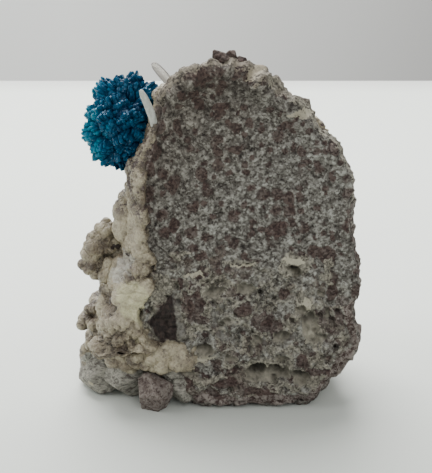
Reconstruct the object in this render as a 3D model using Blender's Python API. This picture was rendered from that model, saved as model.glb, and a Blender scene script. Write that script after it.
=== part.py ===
# Cavansite on matrix: a blue rosette of radiating blades and two stilbite blades, grown on a
# cream zeolite crust that coats the left and back of a broken block of basalt breccia.
# Metres, +Z up. The flat broken face looks along -Y. The origin is on the flat that it stands on.

import math

import bmesh
import bpy
import numpy as np
from mathutils import Vector

MM = 0.001

# Driving dimensions of the block, in millimetres. The clearance is what one piece keeps from
# the next, so that no facet comes nearer than 0.3.
SECTION_CENTRE = (0.0, 27.0)
BACK_CENTRE = (1.0, 17.0)
FACE_Y_BOTTOM = -18.0
FACE_LEAN = 2.0
BLOCK_HEIGHT = 60.0
BACK_Y = 17.0
BLOCK_CELLS = 13
CLEARANCE = 0.345

# Outline of the block seen along +Y: (angle from +X in degrees, radius in millimetres)
OUTLINE = [
    (0, 22.7), (5, 22.6), (15, 22.1), (25, 23.6), (35, 25.2), (43, 25.4), (50, 25.9), (58, 26.4),
    (62, 27.4), (69, 27.7), (76, 28.6), (83, 30.2), (90, 30.9), (97, 30.2), (103, 29.0), (108, 28.2),
    (115, 25.0), (125, 21.4), (135, 20.0), (145, 18.0), (155, 16.4), (165, 16.0), (175, 16.2),
    (185, 16.5), (195, 18.5), (205, 20.6), (215, 25.0), (225, 29.5), (233, 31.8), (243, 30.3),
    (250, 28.7), (260, 27.4), (270, 27.0), (280, 27.4), (290, 28.7), (298, 30.5), (303, 31.4),
    (312, 29.6), (320, 28.9), (326, 28.8), (331, 26.0), (337, 24.6), (345, 24.8), (352, 23.4),
]
OUTLINE_BLUR_DEG = 1.6

# How the section runs from the flat face to the back, by direction: right, top, left, bottom
RIM_SHARE = (0.965, 0.97, 0.80, 0.965)
RIM_DEPTH = (4.5, 3.0, 11.0, 3.0)
BACK_POWER = (0.95, 1.35, 0.80, 0.45)
RIM_ANGLE = math.radians(84)
WIDEST_ANGLE = math.radians(97)

# Broken faces that cut the back and the right side: (normal, distance from the origin)
BROKEN_FACES = [
    ((0.80, 0.60, -0.10), 22.6),
    ((0.74, -0.35, -0.57), 16.7),
    ((-0.55, -0.60, -0.58), 12.2),
    ((0.62, 0.50, 0.60), 37.5),
    ((0.10, 0.97, -0.20), 15.2),
    ((-0.45, 0.80, 0.40), 27.5),
    ((0.94, 0.05, 0.33), 33.2),
]

# Uneven ground of the block: (size of its swells, their height), smoother on the flat face
SWELLS = [(7.0, 0.55), (3.2, 0.3)]
SWELL_SEED = 3
FACE_SMOOTHING = 0.6
FLAT_FACE_FROM_Y = -12.0

# Clasts and swellings that stand out of the block: (x, y, z, radius)
CLASTS = [
    (-11.3, -16.9, 3.2, 3.1),
    (0.8, -14.2, 58.2, 1.8),
    (21.6, -11.0, 10.6, 3.4),
    (-8.2, -17.0, 26.0, 2.4),
    (19.0, -13.5, 6.4, 2.6),
]

# Vugs in the flat face: (x, z, half width, half height, depth)
VUGS = [
    (8.0, 6.0, 4.2, 2.1, 3.6),
    (14.6, 16.0, 1.9, 2.9, 2.4),
    (12.0, 24.2, 2.2, 1.9, 2.2),
    (-1.2, 21.0, 2.0, 1.4, 1.8),
    (13.6, 5.6, 2.0, 1.6, 2.2),
    (9.4, 13.2, 1.6, 1.2, 1.6),
    (-3.4, 10.4, 1.5, 1.4, 2.0),
]

# Rosette, its place, and the sprays of blades that make it: (direction, how far the tips reach)
ROSETTE_CENTRE = (-15.0, -6.5, 47.0)
ROSETTE_CORE = 6.7
SPRAYS = [
    ((-0.68, -0.20, 0.70), 8.9), ((0.00, -0.15, 1.00), 8.6), ((0.57, -0.10, 0.82), 8.0),
    ((-0.95, -0.10, -0.33), 8.8), ((-1.00, -0.10, 0.20), 7.9), ((-0.35, -0.15, 0.93), 8.2),
    ((-0.75, -0.15, -0.65), 8.6), ((-0.30, -0.20, -0.95), 8.3), ((-0.20, -1.00, 0.20), 8.3),
    ((-0.60, -0.75, -0.30), 8.4), ((0.15, -0.80, -0.50), 8.0), ((-0.55, -0.70, 0.45), 8.4),
    ((0.25, -0.80, 0.60), 8.2), ((-0.62, 0.75, 0.30), 8.3), ((-0.55, 0.75, -0.35), 8.3),
    ((0.00, 0.65, 0.80), 8.2), ((-0.15, 0.60, -0.80), 8.2), ((0.15, 0.95, 0.05), 8.0),
    ((-0.90, 0.40, 0.00), 8.4), ((0.75, 0.20, -0.20), 7.4),
]
BLADES_PER_SPRAY = 3
BLADE_ROOT = 4.8
SPRAY_SPREAD = 0.24
BLADE_WIDTH = 2.6
BLADE_THICKNESS = 1.2
ROSETTE_SEED = 5

# Stilbite blades: (foot, tip, width, thickness)
STILBITES = {
    "stilbite_blade_front": ((-10.6, -13.6, 46.2), (-13.1, -16.8, 54.9), 1.75, 0.9),
    "stilbite_blade_top": ((-7.6, -8.0, 52.8), (-11.3, -8.2, 57.3), 1.45, 0.75),
}

# Crust, from the top right over the left side to the lower front:
# (angle from +X, its edge on the front, its edge on the back), in degrees on the block's directions
CRUST_EDGES = [
    (40, 87, 97), (60, 84, 108), (80, 83, 116), (100, 82, 126), (125, 79, 138), (150, 77, 146),
    (175, 75, 150), (200, 66, 148), (214, 62, 140), (226, 52, 124), (236, 49, 84), (250, 52, 68),
]
CRUST_CELLS = (42, 12)
CRUST_THICKNESS = 1.1
CRUST_SUNK = 2.4
CRUST_SEED = 11
CRUST_LUMPS = 190
CRUST_UNDERSIDE = 0.4

# Lobes that stand off the crust: (x, y, z, radius)
LOBES = [
    # The finger, with the lobe that joins it
    (-19.8, -8.4, 28.4, 1.9), (-20.6, -9.2, 26.6, 2.2), (-21.5, -8.4, 24.7, 2.2), (-22.3, -9.2, 23.2, 1.9),
    (-18.0, -9.0, 26.2, 1.7), (-19.4, -9.2, 22.0, 2.5), (-17.8, -9.8, 19.8, 2.5), (-18.4, -9.6, 17.4, 2.5),
    # Smooth lobes above it
    (-14.9, -10.0, 31.2, 2.6), (-14.5, -10.6, 28.2, 2.7),
    # Low on the left
    (-22.6, -8.6, 12.6, 2.1), (-21.4, -9.0, 14.8, 2.0), (-20.2, -10.0, 12.6, 2.6), (-20.0, -10.8, 9.4, 2.8),
    (-17.6, -12.0, 12.6, 2.6), (-21.4, -9.0, 6.4, 2.8), (-20.4, -10.0, 3.8, 3.0), (-22.4, -6.5, 3.2, 2.6),
    # Low on the front
    (-13.6, -16.2, 9.2, 2.4), (-10.2, -16.6, 9.8, 2.9), (-6.6, -16.9, 9.2, 2.8), (-16.6, -14.4, 8.4, 2.8),
    (-12.6, -15.2, 20.8, 3.0), (-14.0, -15.4, 13.2, 2.6),
    # On the hidden left side
    (-17.4, -2.6, 24.2, 3.1), (-18.2, 2.4, 17.0, 3.4), (-19.9, -2.4, 12.4, 3.4), (-18.6, 5.0, 9.4, 3.5),
    (-14.8, -3.6, 32.0, 2.7), (-15.6, 4.6, 26.0, 3.1), (-20.4, 0.0, 6.0, 3.4),
    # Round the foot of the rosette
    (-12.4, -13.0, 43.6, 2.2), (-14.6, -10.6, 40.6, 2.3), (-9.0, -12.4, 52.6, 2.0),
]


# Value noise, from a hashed lattice

def lattice_value(cell, seed):
    """A number from 0 to 1 for each whole-number cell, the same every run."""
    h = (cell[..., 0] * 374761393 + cell[..., 1] * 668265263 + cell[..., 2] * 2147483647
         + seed * 144665) & 0xFFFFFFFF
    h = ((h ^ (h >> 13)) * 1274126177) & 0xFFFFFFFF
    return ((h ^ (h >> 16)) & 0xFFFF) / 65535.0


def noise(points, size, seed):
    """Smooth noise from -1 to 1 whose features are about size across."""
    scaled = points / size
    cell = np.floor(scaled).astype(np.int64)
    part = scaled - cell
    part = part * part * (3 - 2 * part)
    total = 0
    for dx in (0, 1):
        for dy in (0, 1):
            for dz in (0, 1):
                share = (np.where(dx, part[..., 0], 1 - part[..., 0])
                         * np.where(dy, part[..., 1], 1 - part[..., 1])
                         * np.where(dz, part[..., 2], 1 - part[..., 2]))
                total = total + share * lattice_value(cell + np.array([dx, dy, dz]), seed)
    return 2 * total - 1


# The block's smooth form, as a function of a direction on a sphere

def outline_table():
    """The outline's radius at each half degree, with its corners softened."""
    angles, radii = np.array(OUTLINE, float).T
    steps = np.arange(0, 360, 0.5)
    table = np.interp(steps, np.append(angles, 360), np.append(radii, radii[0]))
    offsets = np.arange(-20, 21) * 0.5
    weights = np.exp(-0.5 * (offsets / OUTLINE_BLUR_DEG) ** 2)
    weights /= weights.sum()
    return sum(w * np.roll(table, int(2 * o)) for w, o in zip(weights, offsets))


RADIUS_TABLE = outline_table()


def by_direction(values, phi):
    """Runs smoothly through the values given for right, top, left and bottom."""
    right, top, left, bottom = values
    c, s = np.cos(phi), np.sin(phi)
    return (np.where(c > 0, right, left) * c * c) + (np.where(s > 0, top, bottom) * s * s)


def block_point(d):
    """The block's surface in the direction d, in millimetres, before it is broken and pitted."""
    psi = np.arccos(np.clip(-d[..., 1], -1, 1))
    phi = np.arctan2(d[..., 2], d[..., 0])
    steps = np.arange(0, 360.5, 0.5)
    radius = np.interp(np.degrees(phi) % 360, steps, np.append(RADIUS_TABLE, RADIUS_TABLE[0]))
    rim = by_direction(RIM_SHARE, phi)
    depth = by_direction(RIM_DEPTH, phi)
    power = by_direction(BACK_POWER, phi)
    face = np.clip(psi / RIM_ANGLE, 0, 1)
    turn = np.clip((psi - RIM_ANGLE) / (WIDEST_ANGLE - RIM_ANGLE), 0, 1) * math.pi / 2
    tau = np.clip((psi - WIDEST_ANGLE) / (math.pi - WIDEST_ANGLE), 0, 1) * math.pi / 2
    share = np.where(psi < RIM_ANGLE, rim * face, rim + (1 - rim) * np.sin(turn))
    share = np.where(tau > 0, np.cos(tau) ** power, share)
    back = np.sin(tau)
    shift = back ** 1.5
    cx = SECTION_CENTRE[0] + (BACK_CENTRE[0] - SECTION_CENTRE[0]) * shift
    cz = SECTION_CENTRE[1] + (BACK_CENTRE[1] - SECTION_CENTRE[1]) * shift
    x = cx + radius * share * np.cos(phi)
    z = cz + radius * share * np.sin(phi)
    face_y = FACE_Y_BOTTOM + FACE_LEAN * z / BLOCK_HEIGHT
    widest_y = face_y + depth
    y = face_y + depth * (1 - np.cos(turn))
    y = np.where(tau > 0, widest_y + (BACK_Y - widest_y) * back, y)
    return np.stack([x, y, z], axis=-1)


def normals_of(point, d):
    """The outward normals of the form point(d), from two small steps on the sphere."""
    helper = np.where(np.abs(d[..., 1:2]) > 0.7, [1.0, 0, 0], [0, 1.0, 0])
    a = np.cross(helper, d)
    a /= np.linalg.norm(a, axis=-1, keepdims=True)
    b = np.cross(d, a)
    step = 0.02
    along_a = point(unit(d + step * a)) - point(unit(d - step * a))
    along_b = point(unit(d + step * b)) - point(unit(d - step * b))
    return unit(np.cross(along_a, along_b))


def unit(v):
    return v / np.maximum(np.linalg.norm(v, axis=-1, keepdims=True), 1e-12)


def reach_of_spheres(points, normals, spheres):
    """How far along each normal the furthest sphere reaches, or 0 where none does."""
    height = np.zeros(points.shape[:-1])
    for x, y, z, r in spheres:
        to = np.array([x, y, z]) - points
        along = (to * normals).sum(-1)
        inside = r * r - (to * to).sum(-1) + along * along
        far = along + np.sqrt(np.maximum(inside, 0))
        height = np.maximum(height, np.where((inside > 0) & (along > -r), far, 0))
    return height


def vug_depth(points):
    """How deep the vugs are at each point of the flat face."""
    depth = np.zeros(points.shape[:-1])
    on_face = np.clip((FLAT_FACE_FROM_Y + 1.0 - points[..., 1]) / 3.0, 0, 1)
    for x, z, half_width, half_height, deep in VUGS:
        away = np.hypot((points[..., 0] - x) / half_width, (points[..., 2] - z) / half_height)
        depth = np.maximum(depth, deep * np.clip(1.25 * (1 - away ** 2), 0, 1) * on_face)
    return depth


def broken(points):
    """Moves what lies beyond a broken face onto it."""
    for normal, distance in BROKEN_FACES:
        n = np.array(normal) / np.linalg.norm(normal)
        beyond = np.maximum(points @ n - distance, 0)
        points = points - beyond[..., None] * n
    return points


def block_surface(d):
    """The block with its broken faces, uneven ground, clasts and vugs, flat where it stands."""
    points = block_point(d)
    normals = normals_of(block_point, d)
    points = broken(points)
    swell = sum(height * noise(points, size, SWELL_SEED + k) for k, (size, height) in enumerate(SWELLS))
    on_face = np.clip((FLAT_FACE_FROM_Y - points[..., 1]) / 4.0, 0, 1)
    swell = swell * (1 - FACE_SMOOTHING * on_face)
    height = swell + reach_of_spheres(points, normals, CLASTS) - vug_depth(points)
    points = points + height[..., None] * normals
    points[..., 2] = np.maximum(points[..., 2], 0)
    return points


# Meshes

def cube_sphere(cells):
    """Directions and quads of a sphere made from the six gridded faces of a cube."""
    directions, index, quads = [], {}, []
    edge = np.tan(np.linspace(-1, 1, cells + 1) * math.pi / 4)
    frames = [
        (Vector((1, 0, 0)), Vector((0, 1, 0)), Vector((0, 0, 1))),
        (Vector((-1, 0, 0)), Vector((0, 0, 1)), Vector((0, 1, 0))),
        (Vector((0, 1, 0)), Vector((0, 0, 1)), Vector((1, 0, 0))),
        (Vector((0, -1, 0)), Vector((1, 0, 0)), Vector((0, 0, 1))),
        (Vector((0, 0, 1)), Vector((1, 0, 0)), Vector((0, 1, 0))),
        (Vector((0, 0, -1)), Vector((0, 1, 0)), Vector((1, 0, 0))),
    ]

    def corner(out, a, b, i, j):
        v = (out + a * edge[i] + b * edge[j]).normalized()
        key = tuple(round(c, 6) for c in v)
        if key not in index:
            index[key] = len(directions)
            directions.append(v)
        return index[key]

    for out, a, b in frames:
        for i in range(cells):
            for j in range(cells):
                quads.append([corner(out, a, b, i, j), corner(out, a, b, i + 1, j),
                              corner(out, a, b, i + 1, j + 1), corner(out, a, b, i, j + 1)])
    return np.array(directions), quads


def new_object(name, points_mm, faces, material):
    """An object from points in millimetres and faces, with its normals pointing out."""
    mesh = bpy.data.meshes.new(name)
    mesh.from_pydata((np.asarray(points_mm) * MM).tolist(), [], faces)
    bm = bmesh.new()
    bm.from_mesh(mesh)
    bmesh.ops.triangulate(bm, faces=bm.faces)
    bmesh.ops.recalc_face_normals(bm, faces=bm.faces)
    bm.to_mesh(mesh)
    bm.free()
    mesh.materials.append(material)
    obj = bpy.data.objects.new(name, mesh)
    bpy.context.scene.collection.objects.link(obj)
    return obj


def helper_object(name, points_mm, faces, material):
    """A cutter or an added lobe: it shapes another object and isn't a part itself."""
    obj = new_object(name, points_mm, faces, material)
    obj.hide_render = True
    obj.display_type = "WIRE"
    return obj


def boolean(obj, operation, other):
    """Adds a Boolean modifier that joins the other object to this one, or cuts it away."""
    modifier = obj.modifiers.new(f"{operation.lower()}_{other.name}", "BOOLEAN")
    modifier.operation = operation
    modifier.solver = "EXACT"
    modifier.object = other
    return modifier


def material(name, colour, roughness):
    made = bpy.data.materials.new(name)
    made.use_nodes = True
    shader = made.node_tree.nodes["Principled BSDF"]
    shader.inputs["Base Color"].default_value = (*colour, 1.0)
    shader.inputs["Roughness"].default_value = roughness
    shader.inputs["Metallic"].default_value = 0.0
    return made


# The block and the space that the crust keeps from it

def build_block(stone):
    """The block, and a copy of it a clearance bigger that the crust and the crystals are cut by."""
    directions, quads = cube_sphere(BLOCK_CELLS)
    points = block_surface(directions)
    block = new_object("basalt_matrix", points, quads, stone)
    away = np.empty(len(points) * 3)
    block.data.vertices.foreach_get("normal", away)
    clearance = points + CLEARANCE * away.reshape(-1, 3)
    return helper_object("block_clearance", clearance, quads, stone)


# The crust: a patch of lumps over the block, closed inside the block

def crust_directions(u, v):
    """The direction at a place of the patch: u runs along it and v from front to back, 0 to 1."""
    angle, front, back = np.array(CRUST_EDGES, float).T
    along = u * (len(angle) - 1)
    places = np.arange(len(angle))
    phi = np.radians(np.interp(along, places, angle))
    front = np.interp(along, places, front)
    psi = np.radians(front + v * (np.interp(along, places, back) - front))
    return np.stack([np.sin(psi) * np.cos(phi), -np.cos(psi), np.sin(psi) * np.sin(phi)], axis=-1)


def crust_lumps():
    """Lumps scattered over the patch, sunk a little into the block and bigger low down."""
    rng = np.random.default_rng(CRUST_SEED)
    u, v, size = rng.uniform(0.03, 0.97, (3, CRUST_LUMPS))
    d = crust_directions(u, v)
    centres = block_point(d) - 0.6 * normals_of(block_point, d)
    low = np.clip((28 - centres[:, 2]) / 20, 0, 1)
    return np.column_stack([centres, 1.7 + 0.9 * size + 0.8 * low])


def crust_patch(lift=0.0):
    """The patch's outside, lifted off by a little, and a cone from its edge to inside the block."""
    rows, columns = CRUST_CELLS
    u, v = np.meshgrid(np.linspace(0, 1, rows + 1), np.linspace(0, 1, columns + 1), indexing="ij")
    d = crust_directions(u, v)
    base = broken(block_point(d))
    normals = normals_of(block_point, d)
    height = np.maximum(CRUST_THICKNESS, reach_of_spheres(base, normals, crust_lumps())) + lift
    height[0, :] = height[-1, :] = height[:, 0] = height[:, -1] = lift - CRUST_SUNK
    points = (base + height[..., None] * normals).reshape(-1, 3)
    points[:, 2] = np.maximum(points[:, 2], CRUST_UNDERSIDE)
    inner = len(points)
    points = np.vstack([points, [[SECTION_CENTRE[0], 0.0, SECTION_CENTRE[1]]]])

    def at(i, j):
        return i * (columns + 1) + j

    faces = [[at(i, j), at(i + 1, j), at(i + 1, j + 1), at(i, j + 1)]
             for i in range(rows) for j in range(columns)]
    ring = ([at(i, 0) for i in range(rows)] + [at(rows, j) for j in range(columns)]
            + [at(i, columns) for i in range(rows, 0, -1)] + [at(0, j) for j in range(columns, 0, -1)])
    faces += [[ring[k], ring[(k + 1) % len(ring)], inner] for k in range(len(ring))]
    return points, faces


def lobe_balls(lift=0.0):
    return joined([ball_mesh((x, y, z), radius + lift, 2) for x, y, z, radius in LOBES])


def build_crust(zeolite, block_clearance):
    """The crust, cut clear of the block, and the space that the crystals keep from it."""
    crust = new_object("zeolite_crust", *crust_patch(), zeolite)
    boolean(crust, "UNION", helper_object("lobes", *lobe_balls(), zeolite)).use_self = True
    boolean(crust, "DIFFERENCE", block_clearance)
    clearance = helper_object("crust_clearance", *crust_patch(CLEARANCE), zeolite)
    lobes = helper_object("lobe_clearance", *lobe_balls(CLEARANCE), zeolite)
    boolean(clearance, "UNION", lobes).use_self = True
    return clearance


def ball_mesh(centre, radius, detail):
    """Points and faces of a faceted ball."""
    bm = bmesh.new()
    bmesh.ops.create_icosphere(bm, subdivisions=detail, radius=radius)
    points = np.array([v.co for v in bm.verts]) + np.array(centre)
    faces = [[v.index for v in f.verts] for f in bm.faces]
    bm.free()
    return points, faces


def joined(shapes):
    """Points and faces of many shapes as one list of each."""
    points, faces, start = [], [], 0
    for shape_points, shape_faces in shapes:
        faces += [[start + i for i in face] for face in shape_faces]
        points.append(shape_points)
        start += len(shape_points)
    return np.vstack(points), faces


# Crystals

def blade_mesh(foot, tip, width, thickness, side, tip_share=0.25, waist=0.8):
    """A flat six-sided blade from foot to tip, which narrows to a chisel edge."""
    foot, tip = np.array(foot, float), np.array(tip, float)
    along = tip - foot
    axis = unit(along)
    across = unit(np.cross(np.cross(axis, side), axis))
    through = np.cross(axis, across)
    rings = []
    for share, size in ((0.0, waist), (1 - tip_share, 1.0)):
        for angle in range(0, 360, 60):
            c, s = math.cos(math.radians(angle)), math.sin(math.radians(angle))
            rings.append(foot + share * along + 0.5 * size * (width * c * across + thickness * s * through))
    rings += [tip + 0.12 * width * across, tip - 0.12 * width * across]
    faces = [[0, 1, 2, 3, 4, 5]]
    faces += [[k, (k + 1) % 6, 6 + (k + 1) % 6, 6 + k] for k in range(6)]
    right, left = 12, 13
    faces += [[6, 7, right], [7, 8, left, right], [8, 9, left],
              [9, 10, left], [10, 11, right, left], [11, 6, right]]
    return np.array(rings), faces


def build_rosette(cavansite, clearances):
    """A core with sprays of blades that radiate from it, joined into one body where they grow."""
    rng = np.random.default_rng(ROSETTE_SEED)
    centre = np.array(ROSETTE_CENTRE)
    shapes = []
    for direction, reach in SPRAYS:
        for _ in range(BLADES_PER_SPRAY):
            d = unit(unit(np.array(direction)) + SPRAY_SPREAD * rng.normal(size=3))
            tip = centre + reach * rng.uniform(0.92, 1.0) * d
            shapes.append(blade_mesh(
                centre + BLADE_ROOT * d, tip, BLADE_WIDTH * rng.uniform(0.85, 1.2),
                BLADE_THICKNESS * rng.uniform(0.8, 1.2), rng.normal(size=3), 0.35, 0.7))
    blades = helper_object("rosette_blades", *joined(shapes), cavansite)
    rosette = new_object("cavansite_rosette", *ball_mesh(ROSETTE_CENTRE, ROSETTE_CORE, 2), cavansite)
    boolean(rosette, "UNION", blades).use_self = True
    for clearance in clearances:
        boolean(rosette, "DIFFERENCE", clearance)


def build_stilbites(stilbite, clearances):
    side = np.array([1.0, 0.0, 0.35])
    for name, (foot, tip, width, thickness) in STILBITES.items():
        blade = new_object(name, *blade_mesh(foot, tip, width, thickness, side), stilbite)
        for clearance in clearances:
            boolean(blade, "DIFFERENCE", clearance)


def main():
    for obj in list(bpy.data.objects):
        bpy.data.objects.remove(obj)
    stone = material("basalt_breccia", (0.12, 0.105, 0.095), 0.85)
    zeolite = material("cream_zeolite", (0.40, 0.34, 0.24), 0.7)
    cavansite = material("cavansite_blue", (0.004, 0.06, 0.14), 0.3)
    stilbite = material("white_stilbite", (0.62, 0.63, 0.58), 0.3)

    block_clearance = build_block(stone)
    crust_clearance = build_crust(zeolite, block_clearance)
    build_rosette(cavansite, (block_clearance, crust_clearance))
    build_stilbites(stilbite, (block_clearance, crust_clearance))


main()
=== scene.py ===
# %% [markdown]
# A blue rosette on its rock
#
# The specimen is a block of basalt breccia with one flat broken face. A cream crust of zeolite
# coats its left side and its top, and a rosette of deep blue cavansite blades grows on the crust,
# with two pale stilbite blades beside it. This script loads the plain model as a fixed frame and
# dresses it: each piece is worked out again with numpy, from the same driving dimensions, but with
# many more points, so that it can carry the fine relief of the real stone.

# %% Load the frame
import functools
import itertools
import math

import bpy
import numpy as np
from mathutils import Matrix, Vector


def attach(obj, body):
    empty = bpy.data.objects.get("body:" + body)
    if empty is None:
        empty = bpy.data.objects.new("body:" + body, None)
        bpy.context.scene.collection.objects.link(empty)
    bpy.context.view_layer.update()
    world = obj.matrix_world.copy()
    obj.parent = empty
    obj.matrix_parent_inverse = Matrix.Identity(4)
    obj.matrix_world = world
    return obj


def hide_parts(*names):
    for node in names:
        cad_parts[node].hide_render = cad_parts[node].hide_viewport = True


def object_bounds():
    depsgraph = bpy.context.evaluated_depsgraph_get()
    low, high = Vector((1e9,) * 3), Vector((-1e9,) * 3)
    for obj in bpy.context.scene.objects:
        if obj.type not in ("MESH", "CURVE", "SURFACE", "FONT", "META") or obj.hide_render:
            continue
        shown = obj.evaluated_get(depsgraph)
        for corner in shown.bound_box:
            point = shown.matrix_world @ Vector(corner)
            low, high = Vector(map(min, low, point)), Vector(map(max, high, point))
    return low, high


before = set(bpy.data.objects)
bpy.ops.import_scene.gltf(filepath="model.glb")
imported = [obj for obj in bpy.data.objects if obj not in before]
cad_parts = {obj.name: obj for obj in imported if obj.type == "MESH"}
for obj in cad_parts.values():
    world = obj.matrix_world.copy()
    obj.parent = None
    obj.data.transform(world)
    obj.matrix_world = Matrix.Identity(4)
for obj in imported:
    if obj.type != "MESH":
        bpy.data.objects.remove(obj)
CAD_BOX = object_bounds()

MM = 0.001
print("nodes:", ", ".join(sorted(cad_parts)))
print("box of the plain model, mm:", [round(c / MM, 1) for corner in CAD_BOX for c in corner])

# %% [markdown]
# Meshes from arrays
#
# A grid of points can be turned into a mesh with a loop over its vertices, but that is slow in
# Python. Here every shape is one array of points and one array of faces, worked out all at once,
# and from_pydata puts both into the mesh. The place is in the points, so each object can stay
# at the origin, unturned and unscaled. Numbers on the points, such as how deep a point lies in a
# crease, go with the mesh as attributes, for the materials to read.

# %% Put a mesh into the scene
def link(name, data):
    """An object with its data, linked to the scene."""
    thing = bpy.data.objects.new(name, data)
    bpy.context.scene.collection.objects.link(thing)
    return thing


def put(name, points, faces, finish, node_name, marks=None):
    """Makes one closed piece from points in millimetres, and hides the plain model's node that it stands for.
    """
    mesh = bpy.data.meshes.new(name)
    face_lists = [part.tolist() for part in (faces if isinstance(faces, list) else [faces])]
    mesh.from_pydata((points * MM).tolist(), [], sum(face_lists, []))
    mesh.shade_smooth()
    for mark, values in (marks or {}).items():
        layer = mesh.attributes.new(mark, "FLOAT", "POINT")
        layer.data.foreach_set("value", np.ascontiguousarray(values, dtype=np.float32))
    mesh.materials.append(finish)
    piece = link(name, mesh)
    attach(piece, "root")
    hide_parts(node_name)
    print(name, "has", len(points), "points and", len(mesh.polygons), "faces")
    return piece


# %% Small helpers for numbers
def unit(v):
    """Each vector divided by its length."""
    return v / np.maximum(np.linalg.norm(v, axis=-1, keepdims=True), 1e-12)


def step_up(value, low, high):
    """0 below low, 1 above high, and an S-shaped rise between them: 3t squared less 2t cubed."""
    t = np.clip((value - low) / (high - low), 0, 1)
    return t * t * (3 - 2 * t)


def band(value, start, full, fade, end):
    """1 from full to fade, with an S-shaped slope down to 0 at start and at end."""
    return step_up(value, start, full) * (1 - step_up(value, fade, end))


print("half way up an S-shaped rise:", float(step_up(0.5, 0, 1)))


# %% Small helpers for faces
def grid_faces(rows, columns, start=0):
    """The quads of a grid that has rows by columns cells, whose points are stored row by row."""
    i, j = np.meshgrid(np.arange(rows), np.arange(columns), indexing="ij")
    corner = start + i * (columns + 1) + j
    return np.stack([corner, corner + columns + 1, corner + columns + 2, corner + 1], -1).reshape(-1, 4)


def fan_faces(first, second, tip):
    """Triangles from each first point to its second point and to one more point, the tip."""
    return np.stack([first, second, np.full(len(first), tip)], -1)


def repeated(faces, count, points_each):
    """The same faces for each of several copies, whose points are stored copy after copy."""
    return (faces[None] + (np.arange(count) * points_each)[:, None, None]).reshape(-1, faces.shape[1])


# %% Directions on a sphere
def cube_sphere(cells):
    """Directions on a sphere, and quads, from the six sides of a cube with gridded faces.

    A point of a side is the side's axis plus tan(a) and tan(b) along the other two axes, for
    angles a and b from -45 to 45 degrees. Points that two sides share are merged.
    """
    edge = np.tan(np.linspace(-1, 1, cells + 1) * math.pi / 4)
    a, b = np.meshgrid(edge, edge, indexing="ij")
    one = np.ones_like(a)
    sides = [(one, a, b), (-one, b, a), (b, one, a), (a, -one, b), (a, b, one), (b, a, -one)]
    points = unit(np.stack([np.stack(side, -1) for side in sides]).reshape(-1, 3))
    faces = np.concatenate([grid_faces(cells, cells, k * (cells + 1) ** 2) for k in range(6)])
    _, first, merged = np.unique(np.round(points * 1e6).astype(np.int64), axis=0,
                                 return_index=True, return_inverse=True)
    return points[first], merged.ravel()[faces]


def even_directions(count):
    """Directions spread evenly over a sphere, along a spiral that turns by the golden angle."""
    k = np.arange(count)
    height = 1 - 2 * (k + 0.5) / count
    turn = k * math.pi * (3 - math.sqrt(5))
    flat = np.sqrt(1 - height ** 2)
    return np.stack([flat * np.cos(turn), flat * np.sin(turn), height], -1)


print("a cube with four cells along each side gives", len(cube_sphere(4)[0]), "directions")

# %% [markdown]
# Noise
#
# Natural relief has no straight lines, so it is made from noise. Blender has noise textures, but
# here the relief must be in the points themselves, so that the shape is real from every side. A
# lattice of cells gives each corner a number by mixing the bits of its whole-number place. That
# costs no memory, and it gives the same stone on every run. Two kinds are enough: swells, and
# cells round scattered points, which give close-packed domes, pits, and stones with joints.

# %% Noise on whole arrays
MIXERS = (374761393, 668265263, 2147483647)
SEED_MIXER = 144665
LAST_MIXER = 1274126177
LOW_32_BITS = 0xFFFFFFFF
LOW_16_BITS = 0xFFFF
TORN = (4, 0.6)


def lattice_value(cell, seed):
    """A number from 0 to 1 for each whole-number cell.

    The cell's three parts and the seed, each times a large number, are added. Shifting the sum,
    combining it with itself and multiplying once more mixes its bits.
    """
    h = (sum(cell[..., k] * mixer for k, mixer in enumerate(MIXERS)) + seed * SEED_MIXER) & LOW_32_BITS
    h = ((h ^ (h >> 13)) * LAST_MIXER) & LOW_32_BITS
    return ((h ^ (h >> 16)) & LOW_16_BITS) / LOW_16_BITS


def noise(points, size, seed):
    """Smooth noise from -1 to 1: the eight corners of each point's cell, blended by distance."""
    scaled = points / size
    cell = np.floor(scaled).astype(np.int64)
    part = scaled - cell
    part = part * part * (3 - 2 * part)
    total = 0
    for corner in itertools.product((0, 1), repeat=3):
        share = np.prod(np.where(corner, part, 1 - part), axis=-1)
        total = total + share * lattice_value(cell + np.array(corner), seed)
    return 2 * total - 1


def swells(points, size, seed, octaves=3, fall=0.5):
    """Several noises added: each is half the size of the last and lower by the fall.

    With the octaves and the fall in TORN the sum is ragged enough for torn edges.
    """
    return sum(fall ** k * noise(points, size / 2 ** k, seed + k) for k in range(octaves))


# %% Cells round scattered points
FAR = 9.0
DOME_RADIUS = 0.68
PIT_RADIUS = 0.42
PIT_WALL = 0.3


def nearest_seed(points, size, seed):
    """The distance to the nearest of many scattered points, in cells, that point's own number from
    0 to 1, and how much further away the second nearest is, which is 0 on the joint between them."""
    scaled = points / size
    cell = np.floor(scaled).astype(np.int64)
    nearest = np.full(points.shape[:-1], FAR)
    second = nearest.copy()
    number = np.zeros(points.shape[:-1])
    for offset in itertools.product((-1, 0, 1), repeat=3):
        corner = cell + np.array(offset)
        place = corner + np.stack([lattice_value(corner, seed + k) for k in range(3)], -1)
        away = ((scaled - place) ** 2).sum(-1)
        number = np.where(away < nearest, lattice_value(corner, seed + 3), number)
        second = np.minimum(second, np.maximum(away, nearest))
        nearest = np.minimum(nearest, away)
    return np.sqrt(nearest), number, np.sqrt(second) - np.sqrt(nearest)


def domes(points, size, seed):
    """Close-packed round tops: the square root of one less the squared distance, 0 in creases."""
    away, _, _ = nearest_seed(points, size, seed)
    return np.sqrt(np.clip(1 - (away / DOME_RADIUS) ** 2, 0, 1))


def pits(points, size, seed, share):
    """Round holes, 1 at their middle, in that share of the cells."""
    away, number, _ = nearest_seed(points, size, seed)
    return step_up(PIT_RADIUS - away, 0, PIT_WALL) * (number < share)


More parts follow.
